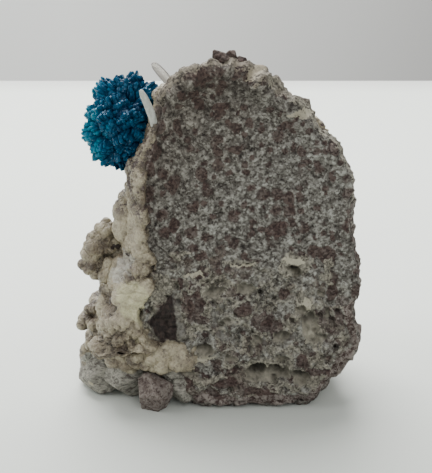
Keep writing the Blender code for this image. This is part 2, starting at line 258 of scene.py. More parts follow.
print("noise at one place:", round(float(noise(np.array([[1.5, 2.5, 3.5]]), 1.0, 3)[0]), 3))

# %% [markdown]
# The form of the block
#
# The flat face looks along -Y. Seen along +Y the block has the outline below, given as a radius
# for each angle round a centre. From the flat face the surface turns over a rim and then runs
# back to a blunt back. The whole form is one function of a direction on a sphere, the angle round
# the Y axis and the angle away from -Y. These are the driving dimensions of the plain model.

# %% Driving dimensions of the block, in millimetres
SECTION_CENTRE = (0.0, 27.0)
BACK_CENTRE = (1.0, 17.0)
FACE_Y_BOTTOM = -18.0
FACE_LEAN = 2.0
BLOCK_HEIGHT = 60.0
BACK_Y = 17.0
OUTLINE = [
    (0, 22.7), (5, 22.6), (15, 22.1), (25, 23.6), (35, 25.2), (43, 25.4), (50, 25.9), (58, 26.4),
    (62, 27.4), (69, 27.7), (76, 28.6), (83, 30.2), (90, 30.9), (97, 30.2), (103, 29.0), (108, 28.2),
    (115, 25.0), (125, 21.4), (135, 20.0), (145, 18.0), (155, 16.4), (165, 16.0), (175, 16.2),
    (185, 16.5), (195, 18.5), (205, 20.6), (215, 25.0), (225, 29.5), (233, 31.8), (243, 30.3),
    (250, 28.7), (260, 27.4), (270, 27.0), (280, 27.4), (290, 28.7), (298, 30.5), (303, 31.4),
    (312, 29.6), (320, 28.9), (326, 28.8), (331, 26.0), (337, 24.6), (345, 24.8), (352, 23.4),
]
OUTLINE_BLUR_DEG = 1.6
TABLE_STEP_DEG = 0.5
BLUR_STEPS = 20
RIM_SHARE = (0.965, 0.97, 0.80, 0.965)
RIM_DEPTH = (4.5, 3.0, 11.0, 3.0)
BACK_POWER = (0.95, 1.35, 0.80, 0.45)
BACK_SHIFT_POWER = 1.5
RIM_ANGLE = math.radians(84)
WIDEST_ANGLE = math.radians(97)
NORMAL_STEP = 0.02
BROKEN_FACES = [
    ((0.80, 0.60, -0.10), 22.6),
    ((0.74, -0.35, -0.57), 16.7),
    ((-0.55, -0.60, -0.58), 12.2),
    ((0.62, 0.50, 0.60), 37.5),
    ((0.10, 0.97, -0.20), 15.2),
    ((-0.45, 0.80, 0.40), 27.5),
    ((0.94, 0.05, 0.33), 33.2),
]
CLASTS = [
    (-11.2, -17.6, 2.7, 3.4),
    (21.2, -11.0, 10.6, 3.2),
    (18.8, -13.5, 6.4, 2.7),
]
print("the block's outline has", len(OUTLINE), "points, and", len(BROKEN_FACES), "faces are broken off")


# %% The outline
TABLE_ANGLES = np.arange(0, 360, TABLE_STEP_DEG)


def outline_table():
    """The outline's radius at each half degree, with its corners softened by a bell-shaped blur."""
    angles, radii = np.array(OUTLINE, float).T
    table = np.interp(TABLE_ANGLES, angles, radii, period=360)
    steps = np.arange(-BLUR_STEPS, BLUR_STEPS + 1)
    weights = np.exp(-0.5 * (steps * TABLE_STEP_DEG / OUTLINE_BLUR_DEG) ** 2)
    return sum(weight * np.roll(table, k) for weight, k in zip(weights / weights.sum(), steps))


RADIUS_TABLE = outline_table()
print("the outline's radius, mm: from", round(RADIUS_TABLE.min(), 1), "to", round(RADIUS_TABLE.max(), 1))


# %% The smooth form, as a function of direction
def by_direction(values, phi):
    """Runs through the values given for right, top, left and bottom, by squared cosine and sine."""
    right, top, left, bottom = values
    c, s = np.cos(phi), np.sin(phi)
    return np.where(c > 0, right, left) * c * c + np.where(s > 0, top, bottom) * s * s


def angles_of(d):
    """The angle away from -Y, and the angle round the Y axis from +X."""
    return np.arccos(np.clip(-d[..., 1], -1, 1)), np.arctan2(d[..., 2], d[..., 0])


def block_point(d):
    """The block's surface in the direction d: face, then rim, then back.

    On the face the radius grows evenly with the angle. Over the rim it follows a sine up to the
    outline, and behind that a power of a cosine, while y runs to the back with the sine.
    """
    psi, phi = angles_of(d)
    radius = np.interp(np.degrees(phi), TABLE_ANGLES, RADIUS_TABLE, period=360)
    rim, depth, power = (by_direction(values, phi) for values in (RIM_SHARE, RIM_DEPTH, BACK_POWER))
    face = np.clip(psi / RIM_ANGLE, 0, 1)
    turn = np.clip((psi - RIM_ANGLE) / (WIDEST_ANGLE - RIM_ANGLE), 0, 1) * math.pi / 2
    tau = np.clip((psi - WIDEST_ANGLE) / (math.pi - WIDEST_ANGLE), 0, 1) * math.pi / 2
    share = np.where(psi < RIM_ANGLE, rim * face, rim + (1 - rim) * np.sin(turn))
    share = np.where(tau > 0, np.cos(tau) ** power, share)
    back = np.sin(tau)
    shift = back ** BACK_SHIFT_POWER
    x = SECTION_CENTRE[0] + (BACK_CENTRE[0] - SECTION_CENTRE[0]) * shift + radius * share * np.cos(phi)
    z = SECTION_CENTRE[1] + (BACK_CENTRE[1] - SECTION_CENTRE[1]) * shift + radius * share * np.sin(phi)
    face_y = FACE_Y_BOTTOM + FACE_LEAN * z / BLOCK_HEIGHT
    y = face_y + depth * (1 - np.cos(turn))
    y = np.where(tau > 0, face_y + depth + (BACK_Y - face_y - depth) * back, y)
    return np.stack([x, y, z], axis=-1)


def normals_of(point, d):
    """The outward normals of the form point(d), from two small steps on the sphere."""
    helper = np.where(np.abs(d[..., 1:2]) > 0.7, [1.0, 0, 0], [0, 1.0, 0])
    a = unit(np.cross(helper, d))
    b = np.cross(d, a)
    along = [point(unit(d + NORMAL_STEP * way)) - point(unit(d - NORMAL_STEP * way)) for way in (a, b)]
    return unit(np.cross(*along))


# %% Broken faces and lumps
def broken(points):
    """Moves what lies beyond a broken face onto it."""
    for normal, distance in BROKEN_FACES:
        n = np.array(normal) / np.linalg.norm(normal)
        points = points - np.maximum(points @ n - distance, 0)[..., None] * n
    return points


def reach_of_spheres(points, normals, spheres):
    """How far along each normal the furthest sphere reaches: where the line leaves the sphere."""
    height = np.zeros(points.shape[:-1])
    for x, y, z, r in spheres:
        to = np.array([x, y, z]) - points
        along = (to * normals).sum(-1)
        inside = r * r - (to * to).sum(-1) + along * along
        far = along + np.sqrt(np.maximum(inside, 0))
        height = np.maximum(height, np.where((inside > 0) & (along > -r), far, 0))
    return height


face_direction = np.array([[0.0, -1.0, 0.0]])
print("the middle of the face, mm:", np.round(broken(block_point(face_direction))[0], 1).tolist())

# %% [markdown]
# The relief of the block
#
# The flat face was broken or sawn, so it is even, with fine pits. Its lower third is coarser: there
# the pieces of rock stand apart, cream mineral fills the joints, and open hollows go in, called
# vugs, with cream linings. The sides and the back are plain broken rock, much rougher. Each of
# these is a height along the normal, added to the smooth form. Vugs and coloured places are put
# where the photograph shows them, and noise bends their outlines so that none is an ellipse.

# %% Vugs on the flat face: (x, z, half width, half height, depth) in millimetres
VUG_SPREAD = 1.08
DARK_VUG_DEPTH = 2.4
VUGS = [
    (8.0, 6.2, 3.2, 1.5, 3.2), (5.4, 5.9, 1.6, 1.1, 3.9), (14.7, 14.4, 1.3, 2.6, 1.8),
    (13.2, 17.9, 0.9, 0.8, 1.7), (12.0, 24.1, 0.8, 1.1, 3.3), (-1.2, 20.8, 1.9, 0.9, 1.8),
    (13.4, 5.6, 1.4, 1.4, 2.6), (9.8, 12.8, 1.6, 0.9, 1.9), (-2.8, 10.3, 1.4, 1.0, 2.4),
    (4.2, 21.2, 1.5, 0.7, 1.2), (17.0, 20.2, 0.6, 0.6, 1.2), (-14.2, 24.9, 1.4, 0.7, 2.0),
    (16.6, 12.4, 0.8, 1.1, 1.4), (5.6, 12.2, 0.8, 1.0, 1.5), (0.8, 15.4, 1.0, 0.7, 1.3),
    (10.4, 8.9, 1.0, 0.6, 1.2), (17.4, 16.6, 0.6, 0.9, 1.2), (-5.4, 6.6, 1.6, 0.7, 1.4),
    (1.6, 9.4, 1.1, 0.6, 1.3),
]
print(len(VUGS), "vugs, of which the deepest goes in by", max(vug[-1] for vug in VUGS), "mm")

# %% Coloured places on the flat face: (x, z, half width, half height) in millimetres
CREAM_PLACES = [
    (12.0, 25.4, 2.6, 1.9), (13.6, 18.9, 1.3, 1.4), (15.4, 13.6, 1.2, 2.2), (9.0, 7.3, 4.0, 1.2),
    (15.0, 4.8, 1.8, 1.1), (-1.0, 22.4, 3.2, 0.7), (-4.0, 9.0, 2.2, 1.2), (5.2, 57.4, 1.7, 2.2),
    (8.6, 56.8, 2.4, 0.8), (12.4, 53.8, 2.2, 0.8), (-12.0, 51.4, 1.0, 3.0), (-8.6, 57.0, 2.6, 0.7),
    (3.0, 25.6, 2.6, 0.5), (-10.4, 21.6, 2.8, 2.4), (-7.0, 27.0, 1.2, 0.5), (-3.0, 5.4, 3.0, 0.6),
    (10.6, 4.0, 3.0, 0.7), (17.4, 24.0, 0.8, 2.0),
]
DARK_PLACES = [
    (-4.5, 58.0, 1.5, 0.5), (2.4, 57.6, 0.9, 1.3), (-8.9, 54.4, 1.6, 0.7), (-10.3, 48.3, 1.3, 1.4),
    (-0.4, 51.6, 1.4, 0.7), (-3.8, 52.3, 0.8, 0.8), (-7.0, 48.4, 0.6, 1.3), (0.0, 54.6, 0.6, 0.9),
    (10.4, 48.2, 1.0, 0.7), (8.6, 55.0, 0.9, 0.6), (10.4, 53.2, 0.6, 0.5), (12.8, 44.4, 0.8, 0.7),
    (-2.6, 56.0, 1.0, 0.6), (-6.2, 53.2, 0.7, 0.6), (4.8, 48.8, 0.6, 0.7), (-12.2, 41.6, 1.0, 1.5),
    (8.9, 31.4, 1.5, 1.1), (2.4, 44.6, 0.8, 0.7), (-7.6, 32.2, 0.7, 1.0), (-11.0, 44.0, 0.9, 1.2),
    (11.0, 36.6, 1.0, 0.8), (-3.4, 40.4, 0.8, 1.0), (-8.0, 38.4, 1.2, 1.0), (-3.2, 26.6, 1.0, 0.7),
    (17.4, 26.8, 1.2, 1.8), (15.6, 27.6, 1.2, 1.0), (18.6, 20.8, 1.0, 1.6), (10.4, 20.0, 1.0, 0.8),
    (3.4, 17.4, 1.4, 1.0), (7.4, 15.6, 0.9, 0.7), (13.8, 8.4, 1.0, 0.9), (0.6, 4.8, 2.4, 0.9),
    (6.8, 3.2, 2.6, 0.9), (-6.6, 4.8, 1.4, 1.5),
]
CRYSTAL_PLACES = [
    (5.0, 57.4, 1.0, 2.1), (8.4, 55.4, 1.9, 0.6), (12.4, 50.2, 1.6, 0.5), (-9.6, 55.2, 1.6, 0.5),
    (12.0, 26.2, 1.8, 0.6), (-4.6, 23.4, 1.6, 0.4), (3.4, 25.4, 2.0, 0.3), (7.0, 7.6, 2.2, 0.5),
    (14.4, 18.6, 0.7, 0.9), (13.6, 13.0, 0.4, 1.4), (-2.4, 9.0, 1.5, 0.4), (5.2, 21.6, 1.4, 0.3),
]
WEDGE = ((-8.0, 20.8), (-12.4, 15.6), (-10.4, 12.2), (-7.2, 12.0))
PALE_NEEDLE = ((-7.7, 20.6), (-6.5, 12.8), 0.36)
print(len(CREAM_PLACES), "cream,", len(DARK_PLACES), "dark and", len(CRYSTAL_PLACES), "crystal places")


# %% Masks for coloured places
BLOT_EDGE = (1.35, 0.5)
BALL_EDGE = (1.2, 0.4)


def bent_place(points, bend, size, seeds, *more):
    """x and z of the points, each moved by its own swells, so that straight outlines bend."""
    return [points[..., axis] + bend * swells(points, size, seed, *more)
            for axis, seed in zip((0, 2), seeds)]


def blots(points, places, seed, wobble=0.55):
    """1 inside any of several ellipses in x and z, with outlines that noise has bent."""
    x, z = bent_place(points, wobble, 1.8, (seed, seed + 9))
    best = np.full(points.shape[:-1], FAR)
    for cx, cz, half_width, half_height in places:
        best = np.minimum(best, np.hypot((x - cx) / half_width, (z - cz) / half_height))
    return step_up(BLOT_EDGE[0] - best, 0, BLOT_EDGE[1])


def ball_mark(points, places):
    """1 inside any of several balls, with an edge that noise has bent."""
    best = np.full(points.shape[:-1], FAR)
    for x, y, z, radius in places:
        best = np.minimum(best, np.linalg.norm(points - np.array([x, y, z]), axis=-1) / radius)
    best = best + 0.25 * swells(points, 1.6, 65)
    return step_up(BALL_EDGE[0] - best, 0, BALL_EDGE[1])


def inside_corners(points, corners):
    """1 inside a shape with straight sides, whose corners in x and z run anticlockwise."""
    x, z = bent_place(points, 0.25, 0.9, (83, 85))
    inside = np.full(points.shape[:-1], FAR)
    for (x0, z0), (x1, z1) in zip(corners, corners[1:] + corners[:1]):
        length = math.hypot(x1 - x0, z1 - z0)
        inside = np.minimum(inside, ((x1 - x0) * (z - z0) - (z1 - z0) * (x - x0)) / length)
    return step_up(inside, -0.1, 0.2)


def near_line(points, line):
    """1 on a thin straight line on the face, and 0 beside it."""
    (x0, z0), (x1, z1), half = line
    along = np.array([x1 - x0, z1 - z0])
    to_x, to_z = points[..., 0] - x0, points[..., 2] - z0
    share = np.clip((to_x * along[0] + to_z * along[1]) / (along @ along), 0, 1)
    away = np.hypot(to_x - share * along[0], to_z - share * along[1])
    return step_up(2 * half - away, 0, half)


# %% Depth of the vugs
def vug_depth(points):
    """How deep the vugs are, and where in them it is dark.

    Each vug is deepest under its top wall, which keeps the light off, and its floor slopes out.
    Under that wall the second value marks painted shade.
    """
    x, z = bent_place(points, 0.55, 1.7, (61, 71), *TORN)
    depth = np.zeros(points.shape[:-1])
    dark = depth.copy()
    for cx, cz, half_width, half_height, deep in VUGS:
        away = np.hypot((x - cx) / half_width, (z - cz) / half_height) / VUG_SPREAD
        up = np.clip((z - cz) / half_height, -1, 1)
        here = deep * (0.72 + 0.28 * up) * step_up(1.15 - away, 0, 0.42)
        under_wall = step_up(up, -0.35, 0.45) * step_up(here, 0.45 * deep, 0.95 * deep)
        dark = np.maximum(dark, under_wall * min(deep / DARK_VUG_DEPTH, 1))
        depth = np.maximum(depth, here)
    return depth, dark


# %% Stones and the joints between them
STONE_SIZES = (4.8, 2.2)
JOINT_WIDTHS = (0.16, 0.22)
STONE_BEND = 1.3
LARGE_FROM = 0.5


def stones_in_rock(points):
    """Which stone each point lies in, as a number from 0 to 1, and 1 on the joints between stones.

    Cells of the larger size that have a low number are broken up into cells of the smaller size.
    """
    bend = np.stack([swells(points, 2.6, seed, *TORN) for seed in (66, 67, 68)], -1)
    bent = points + STONE_BEND * bend
    _, kind, gap = nearest_seed(bent, STONE_SIZES[0], 175)
    _, small_kind, small_gap = nearest_seed(bent, STONE_SIZES[1], 185)
    joint, small_joint = (1 - step_up(each, 0, width)
                          for each, width in zip((gap, small_gap), JOINT_WIDTHS))
    large = kind > LARGE_FROM
    return np.where(large, kind, 0.9 * small_kind), np.maximum(joint, np.where(large, 0, small_joint))


# %% Zones of the block, by the angle away from -Y and the angle round Y, in degrees
FACE_END = (80, 88)
FRONT_END = (93, 99)
TOP_PHI = (14, 30, 104, 120)
TOP_CREAM_PSI = (84, 89, 97, 103)
TOP_FACE_BEYOND = 9
RIND_PHI = (-122, -108, -24, -12)
RIND_FROM = (78.5, 80.5)
RIND_RAGGED = 2.5
LIP_PHI = (30, 62, 104, 120)
LIP_PSI = (74, 84, 94, 99)
LIP_HEIGHT = 1.6
LOW_BELOW = 25
LOW_SLOPE = 0.16


def low_share(points):
    """1 in the lower third, whose top edge falls to the right and wanders by 3 mm of noise."""
    x, z = points[..., 0], points[..., 2]
    return step_up(LOW_BELOW + 3 * noise(points, 6.0, 31) - LOW_SLOPE * x - z, -3, 5)


def rind_band(psi, phi, points):
    """1 in the brown band just inside the lower right edge of the face, whose edge is ragged."""
    ragged = RIND_RAGGED * swells(points, 2.2, 48, *TORN)
    return band(phi, *RIND_PHI) * step_up(psi + ragged, *RIND_FROM)


def top_lip(psi, phi, points):
    """Extra height on the rim along the top, where the rock stands up through the crust."""
    ragged = 0.7 * swells(points, 2.6, 44) + 0.5 * (domes(points, 2.0, 46) - 0.5)
    return band(psi, *LIP_PSI) * band(phi, *LIP_PHI) * (LIP_HEIGHT + ragged)


# %% Relief of each zone, in millimetres
def fine_relief(points, low):
    """Crumbs and grains as domes, the crumbs higher low down, and swells, with the creases' depth for painted
    shade.
    """
    crumbs, grains = domes(points, 1.35, 21), domes(points, 0.68, 22)
    height = (0.20 + 0.16 * low) * (crumbs - 0.6) + 0.11 * (grains - 0.6)
    return height + 0.14 * swells(points, 1.6, 23), 1 - 0.35 * crumbs - 0.65 * grains


def coarse_relief(points, kind, joint):
    """Swells and domes of the lower third, and stones whose height goes with their number."""
    lumps = 0.48 * swells(points, 2.6, 24, *TORN) + 0.42 * (domes(points, 2.6, 25) - 0.6)
    return lumps + 0.85 * (kind - 0.5) + 0.30 * joint


def broken_relief(points):
    """Swells, and the distances to scattered points about 4 and 9 mm apart, which give ridges."""
    bent = points + swells(points, 6.0, 28)[:, None]
    ridges = 0.6 * (nearest_seed(points, 4.0, 41)[0] - 0.5) + 1.7 * (nearest_seed(bent, 9.0, 43)[0] - 0.75)
    return ridges + 0.34 * swells(points, 2.4, 27, 4, 0.55) + 0.40 * swells(points, 1.4, 29, 3, 0.65)


def hole_depth(points, low):
    """Pits of two sizes. The larger are more and deeper low down."""
    large = pits(points, 1.7, 51, 0.20 + 0.14 * low) * (0.30 + 0.95 * low)
    return large + 0.22 * pits(points, 0.8, 55, 0.25)


# %% Relief of the block
BLOCK_CELLS = 127
BOX_SLACK = 0.7
TOP_SLACK = 1.3
CREAM_HEIGHT = 0.3
FULL_HOLLOW = 1.6
FIBROUS_PLACES = [(-18.0, -9.5, 6.4, 4.6), (-16.2, -12.0, 8.0, 3.0), (-8.0, -17.0, 4.6, 2.4)]


def keep_inside(points, floor=0.0):
    """Draws in what passes the plain model's box by more than a little, or lies below the floor."""
    low, high = (np.array(corner) / MM for corner in CAD_BOX)
    highest = [*(high[:2] + BOX_SLACK), high[2] + TOP_SLACK]
    return np.clip(points, [*(low[:2] - BOX_SLACK), floor], highest)


def block_relief(d):
    """The block's points with all of its relief, and the marks that its finish reads.

    The height along the normal is each zone's relief times how far the point lies in that zone,
    plus the lip at the top and the cream mineral, less the pits and the vugs.
    """
    points, normals = broken(block_point(d)), normals_of(block_point, d)
    psi, phi = np.degrees(angles_of(d))
    top = band(phi, *TOP_PHI)
    on_face, in_front = 1 - step_up(psi, *FACE_END), 1 - step_up(psi, *FRONT_END)
    looks_face = 1 - step_up(psi - TOP_FACE_BEYOND * top, *FACE_END)
    low = on_face * low_share(points)
    kind, joint = stones_in_rock(points)
    fine, crease_shade = fine_relief(points, low)
    swell = (0.55 * noise(points, 7.0, 3) + 0.3 * noise(points, 3.2, 4)) * (1 - 0.4 * on_face)
    height = swell + fine + low * coarse_relief(points, kind, joint) + (1 - on_face) * broken_relief(points)
    holes = hole_depth(points, low)
    vugs, shade = (part * on_face for part in vug_depth(points))
    cream = np.maximum(blots(points, CREAM_PLACES, 81, 1.0) * in_front, 0.9 * top * band(psi, *TOP_CREAM_PSI))
    raised = CREAM_HEIGHT * cream * (1 - step_up(vugs, 0, 0.6))
    height = height + top_lip(psi, phi, points) - holes - vugs + raised
    marks = {
        "face": looks_face * (1 - 0.85 * rind_band(psi, phi, points)),
        "low": low,
        "hollow": np.clip(vugs / FULL_HOLLOW, 0, 1),
        # painted shade: near black deep under the vugs' top walls and, more faintly, in the pits
        "shade": np.clip(shade + 0.25 * holes, 0, 1),
        # painted shade: the deeper a point lies in a crease, the darker the finish makes it
        "crease_shade": crease_shade,
        "cream": cream,
        "dark": blots(points, DARK_PLACES, 91) * in_front,
        "crystal": blots(points, CRYSTAL_PLACES, 95, 0.8) * in_front,
        "kind": kind,
        "joint": joint,
        "wedge": inside_corners(points, WEDGE) * on_face,
        "needle": near_line(points, PALE_NEEDLE) * on_face,
        "fibrous": ball_mark(points, FIBROUS_PLACES),
    }
    return keep_inside(points + height[..., None] * normals), marks


# %% Angular pieces of rock that stand out: (x, y, z, radius) in millimetres
CLAST_FACETS = 13
CLAST_CELLS = 20
CLAST_TILT = 0.22
CLAST_DEPTHS = (0.74, 0.94)
TOP_CHIPS = [(-0.2, -14.3, 58.7, 1.5), (1.4, -14.1, 58.9, 1.4), (2.9, -13.9, 58.2, 1.1)]
FOOT_STONES = [
    (-20.6, -10.2, 4.0, 4.0), (-16.6, -12.0, 4.4, 4.3), (-6.4, -15.0, 3.4, 3.2), (-20.6, -6.0, 3.0, 3.0),
]


def angular_stones(stones, seed):
    """Stones cut by flat faces: along a direction the nearest plane ends the stone."""
    d, quads = cube_sphere(CLAST_CELLS)
    rng = np.random.default_rng(seed)
    pieces = []
    for x, y, z, radius in stones:
        turned = np.linalg.qr(rng.normal(size=(3, 3)))[0]
        tilts = CLAST_TILT * rng.normal(size=(CLAST_FACETS, 3))
        planes = unit(even_directions(CLAST_FACETS) @ turned + tilts)
        distances = rng.uniform(*CLAST_DEPTHS, CLAST_FACETS) * radius
        reach = (distances / np.maximum(d @ planes.T, 0.12)).min(-1)
        pieces.append(np.array([x, y, z]) + reach[:, None] * d)
    points = np.concatenate(pieces)
    grit = 0.10 * swells(points, 1.1, 45) + 0.07 * domes(points, 0.8, 47)
    points = points + grit[:, None] * np.tile(d, (len(stones), 1))
    return keep_inside(points), repeated(quads, len(stones), len(d))


# %% [markdown]
# Finishes from nodes
#
# A finish is a tree of shader nodes. Wiring each node by hand takes many lines, so a small helper
# keeps the tree and adds one kind of node with each call. A second one, built on it, adds textures
# and lays tints over each other, as a painter does. All the textures read Object coordinates, in
# metres, so a size in millimetres becomes a scale of a thousand divided by it.

# %% A helper that wires nodes
class Nodes:
    """A material, and short calls that add nodes to it. Each call gives back a socket."""

    def __init__(self, name):
        self.material = bpy.data.materials.new(name)
        self.material.use_nodes = True
        self.tree = self.material.node_tree
        self.shader = self.tree.nodes["Principled BSDF"]
        self.place = self.add("TexCoord").outputs["Object"]

    def feed(self, socket, value):
        """Links a socket to an input, or sets the input to a number or colour."""
        if isinstance(value, bpy.types.NodeSocket):
            self.tree.links.new(value, socket)
        elif isinstance(value, tuple) and len(value) == 3 and socket.type == "RGBA":
            socket.default_value = (*value, 1.0)
        else:
            socket.default_value = value

    def fill(self, node, **values):
        """Feeds a node's inputs by name, with _ for a space, and gives the node back."""
        for name, value in values.items():
            self.feed(node.inputs[name.replace("_", " ")], value)
        return node

    def add(self, kind, **values):
        """A new node of a kind, with its inputs filled."""
        return self.fill(self.tree.nodes.new("ShaderNode" + kind), **values)

    def set(self, **values):
        """Fills inputs of the main shader."""
        self.fill(self.shader, **values)

    def join(self, kind, operation, a, b):
        """The first output of a node that joins two numbers, or two vectors, by an operation."""
        node = self.add(kind)
        node.operation = operation
        self.feed(node.inputs[0], a)
        self.feed(node.inputs[1], b)
        return node.outputs[0]

    def times(self, *parts):
        """Numbers multiplied."""
        return functools.reduce(lambda a, b: self.join("Math", "MULTIPLY", a, b), parts)

    def sum(self, *parts):
        """Numbers added: each part is a socket, or a pair of a socket and its share."""
        values = [self.times(*part) if isinstance(part, tuple) else part for part in parts]
        return functools.reduce(lambda a, b: self.join("Math", "ADD", a, b), values)

    def edge(self, value, low, high):
        """0 below low and 1 above high, and the other way round where low is the larger."""
        return self.add("MapRange", Value=value, From_Min=low, From_Max=high).outputs["Result"]

    def ramp(self, value, *stops):
        """Colours at places from 0 to 1, blended between them."""
        node = self.add("ValToRGB", Fac=value)
        points = node.color_ramp.elements
        while len(points) < len(stops):
            points.new(0.5)
        for point, (place, colour) in zip(points, stops):
            point.position = place
            point.color = (*colour, 1.0)
        return node.outputs["Color"]

    def mix(self, share, a, b, blend="MIX"):
        """Colour a with colour b laid over it by the share, which is kept from 0 to 1."""
        node = self.add("Mix")
        node.data_type = "RGBA"
        node.blend_type = blend
        self.feed(node.inputs["Factor"], share)
        self.feed(node.inputs[6], a)
        self.feed(node.inputs[7], b)
        return node.outputs[2]


# %% Textures and layers for a finish
class Finish(Nodes):
    """A finish whose colour is built up in layers. Sizes are in millimetres.

    Its colour is set to a first layer, and torn to a noise that tears edges, before the rest.
    """

    def stretched(self, stretch):
        """Object coordinates, scaled along each axis."""
        if stretch == (1, 1, 1):
            return self.place
        return self.add("Mapping", Vector=self.place, Scale=stretch).outputs["Vector"]

    def bent(self, size, amount):
        """Object coordinates pushed about by noise of a size, by about the amount."""
        push = self.add("TexNoise", Vector=self.place, Scale=1.0 / (size * MM)).outputs["Color"]
        push = self.join("VectorMath", "SUBTRACT", push, (0.5, 0.5, 0.5))
        push = self.join("VectorMath", "MULTIPLY", push, (amount * MM, amount * MM, amount * MM))
        return self.join("VectorMath", "ADD", self.place, push)

    def noise(self, size, detail=3.0, rough=0.55, stretch=(1, 1, 1), twist=0.0):
        """Cloudy noise whose largest features are about size millimetres across."""
        return self.add("TexNoise", Vector=self.stretched(stretch), Scale=1.0 / (size * MM),
                        Detail=detail, Roughness=rough, Distortion=twist).outputs["Fac"]

    def cells(self, size, output="Distance", bend=None):
        """Cells about size millimetres across: the distance in each, or a colour for each."""
        where = self.place if bend is None else bend
        return self.add("TexVoronoi", Vector=where, Scale=1.0 / (size * MM)).outputs[output]

    def numbers(self, size, bend=None):
        """A number from 0 to 1 for each cell: the red of its colour."""
        return self.add("SeparateColor", Color=self.cells(size, "Color", bend)).outputs["Red"]

    def axis(self, name):
        """X, Y or Z of the Object coordinates, in metres."""
        return self.add("SeparateXYZ", Vector=self.place).outputs[name]

    def mark(self, name):
        """A number that the mesh holds for each point."""
        node = self.add("Attribute")
        node.attribute_name = name
        return node.outputs["Fac"]

    def patch(self, name, low, high, tear=1.0):
        """1 where a mark, with the finish's torn noise added to it, is above high, 0 below low."""
        return self.edge(self.sum(self.mark(name), (self.torn, tear)), low, high)

    def lay(self, tint, *shares, blend="MIX"):
        """Lays a tint over the finish's colour, by the product of the shares."""
        self.colour = self.mix(self.times(*shares), self.colour, tint, blend)

    def bump(self, height, depth, strength=1.0):
        """Shading relief: a height from 0 to 1 that stands for depth millimetres."""
        node = self.add("Bump", Strength=strength, Distance=depth * MM, Height=height)
        return node.outputs["Normal"]


# %% [markdown]
# The rock's finish
#
# Basalt breccia is a mix: grains under half a millimetre, from near black to pale grey, then
# purple-brown pieces of a millimetre or two, and low down larger stones with cream mineral in the
# joints. Cells from the material make the grains and the pieces. The larger stones stand out in
# relief, so their colours read the same cells as the relief does, from marks on the mesh. Other
# marks say where the cream, the dark pieces, the hollows and the rind are, and where shade is
# painted: in the creases of the mesh, deep in the vugs and in the pits. Each layer is laid over
# the last, and one torn noise breaks all of their edges.

# %% Colours of the rock
GRAIN_BLACK = (0.016, 0.013, 0.011)
GRAIN_DARK = (0.048, 0.041, 0.035)
GRAIN_MID = (0.104, 0.096, 0.084)
GRAIN_PALE = (0.205, 0.198, 0.176)
GRAIN_WHITE = (0.36, 0.36, 0.325)
PURPLE_BROWN = (0.086, 0.055, 0.047)
WEDGE_DARK = (0.016, 0.011, 0.010)
WEDGE_BROWN = (0.064, 0.042, 0.036)
DARK_MAROON = (0.028, 0.016, 0.014)
RIND_BROWN = (0.070, 0.046, 0.040)
JOINT_DARK = (0.066, 0.057, 0.046)
JOINT_CREAM = (0.190, 0.178, 0.142)
LINING_CREAM = (0.370, 0.343, 0.275)
CRYSTAL_PALE = (0.440, 0.410, 0.315)
BROWN_STAIN = (0.46, 0.36, 0.29)
HOLLOW_PAINTED_SHADE = (0.016, 0.013, 0.011)
CLAST_MID = (0.115, 0.088, 0.078)
CLAST_PALE = (0.240, 0.210, 0.186)
FIBROUS_WHITE = (0.33, 0.315, 0.27)


# %% Grains, and the sockets that all the layers share
def grains(paint):
    """Grains whose tone is a weighted sum of cells, clouds and the creases of the mesh, which darken it as
    painted shade.
    """
    paint.low = paint.mark("low")
    paint.grain = paint.numbers(0.31, paint.bent(0.4, 0.2))
    paint.cloud = paint.noise(0.95, 5.0, 0.70)
    paint.patchy = paint.noise(5.0, 3.0)
    paint.torn = paint.sum((paint.cloud, 0.7), (paint.grain, 0.3), -0.5)
    # the crease mark darkens the tone: painted shade
    paint.tone = paint.sum((paint.grain, 0.50), (paint.cloud, 1.20), (paint.noise(2.0, 4.0, 0.6), 0.55),
                           (paint.patchy, 0.45), (paint.low, 0.08), (paint.mark("crease_shade"), -0.45), -0.61)
    paint.colour = paint.ramp(paint.tone, (0.0, GRAIN_BLACK), (0.24, GRAIN_DARK), (0.48, GRAIN_MID),
                              (0.72, GRAIN_PALE), (1.0, GRAIN_WHITE))
    paint.brown = paint.ramp(paint.sum((paint.grain, 0.6), (paint.cloud, 0.9), -0.30),
                             (0.2, DARK_MAROON), (0.7, PURPLE_BROWN))
    paint.cream = paint.ramp(paint.sum((paint.grain, 0.5), (paint.noise(0.7, 4.0, 0.65), 1.3), -0.40),
                             (0.15, JOINT_DARK), (0.45, JOINT_CREAM), (0.85, LINING_CREAM))


# %% Stones and cream mineral between them
SMALL_STONES = ((1.3, 0.85), (2.3, 0.80))


def small_stones(paint):
    """Purple-brown pieces of two sizes: the cells whose own number is high, inside a torn edge."""
    for size, share in SMALL_STONES:
        bent = paint.bent(1.2, 0.9)
        chosen = paint.edge(paint.sum(paint.numbers(size, bent), (paint.patchy, 0.3)), 0.82, 0.87)
        inside = paint.edge(paint.sum(paint.cells(size, bend=bent), (paint.cloud, 0.45)), 0.78, 0.62)
        paint.lay(paint.brown, chosen, inside, share)


def stones_and_veins(paint):
    """Low down, pale and brown stones by their number, then threads and a haze of cream mineral.

    The threads follow the joints of the mesh, where a large cloud lets them.
    """
    kind = paint.mark("kind")
    joint = paint.sum(paint.mark("joint"), paint.torn)
    inside = paint.edge(joint, 0.40, 0.15)
    paint.lay(GRAIN_PALE, paint.edge(kind, 0.24, 0.18), inside, paint.low, 0.40)
    paint.lay(paint.brown, paint.edge(kind, 0.66, 0.70), inside, paint.low, 0.80)
    here = paint.edge(paint.noise(2.6, 4.0), 0.36, 0.52)
    paint.lay(paint.cream, paint.edge(joint, 0.30, 0.75), here, paint.low, 0.90)
    paint.lay(paint.cream, paint.edge(paint.noise(3.2, 5.0, 0.65), 0.48, 0.64), paint.low, 0.48)


# %% Spots, a stain and hollows
STAIN_FALLS_MM = (24, 26)


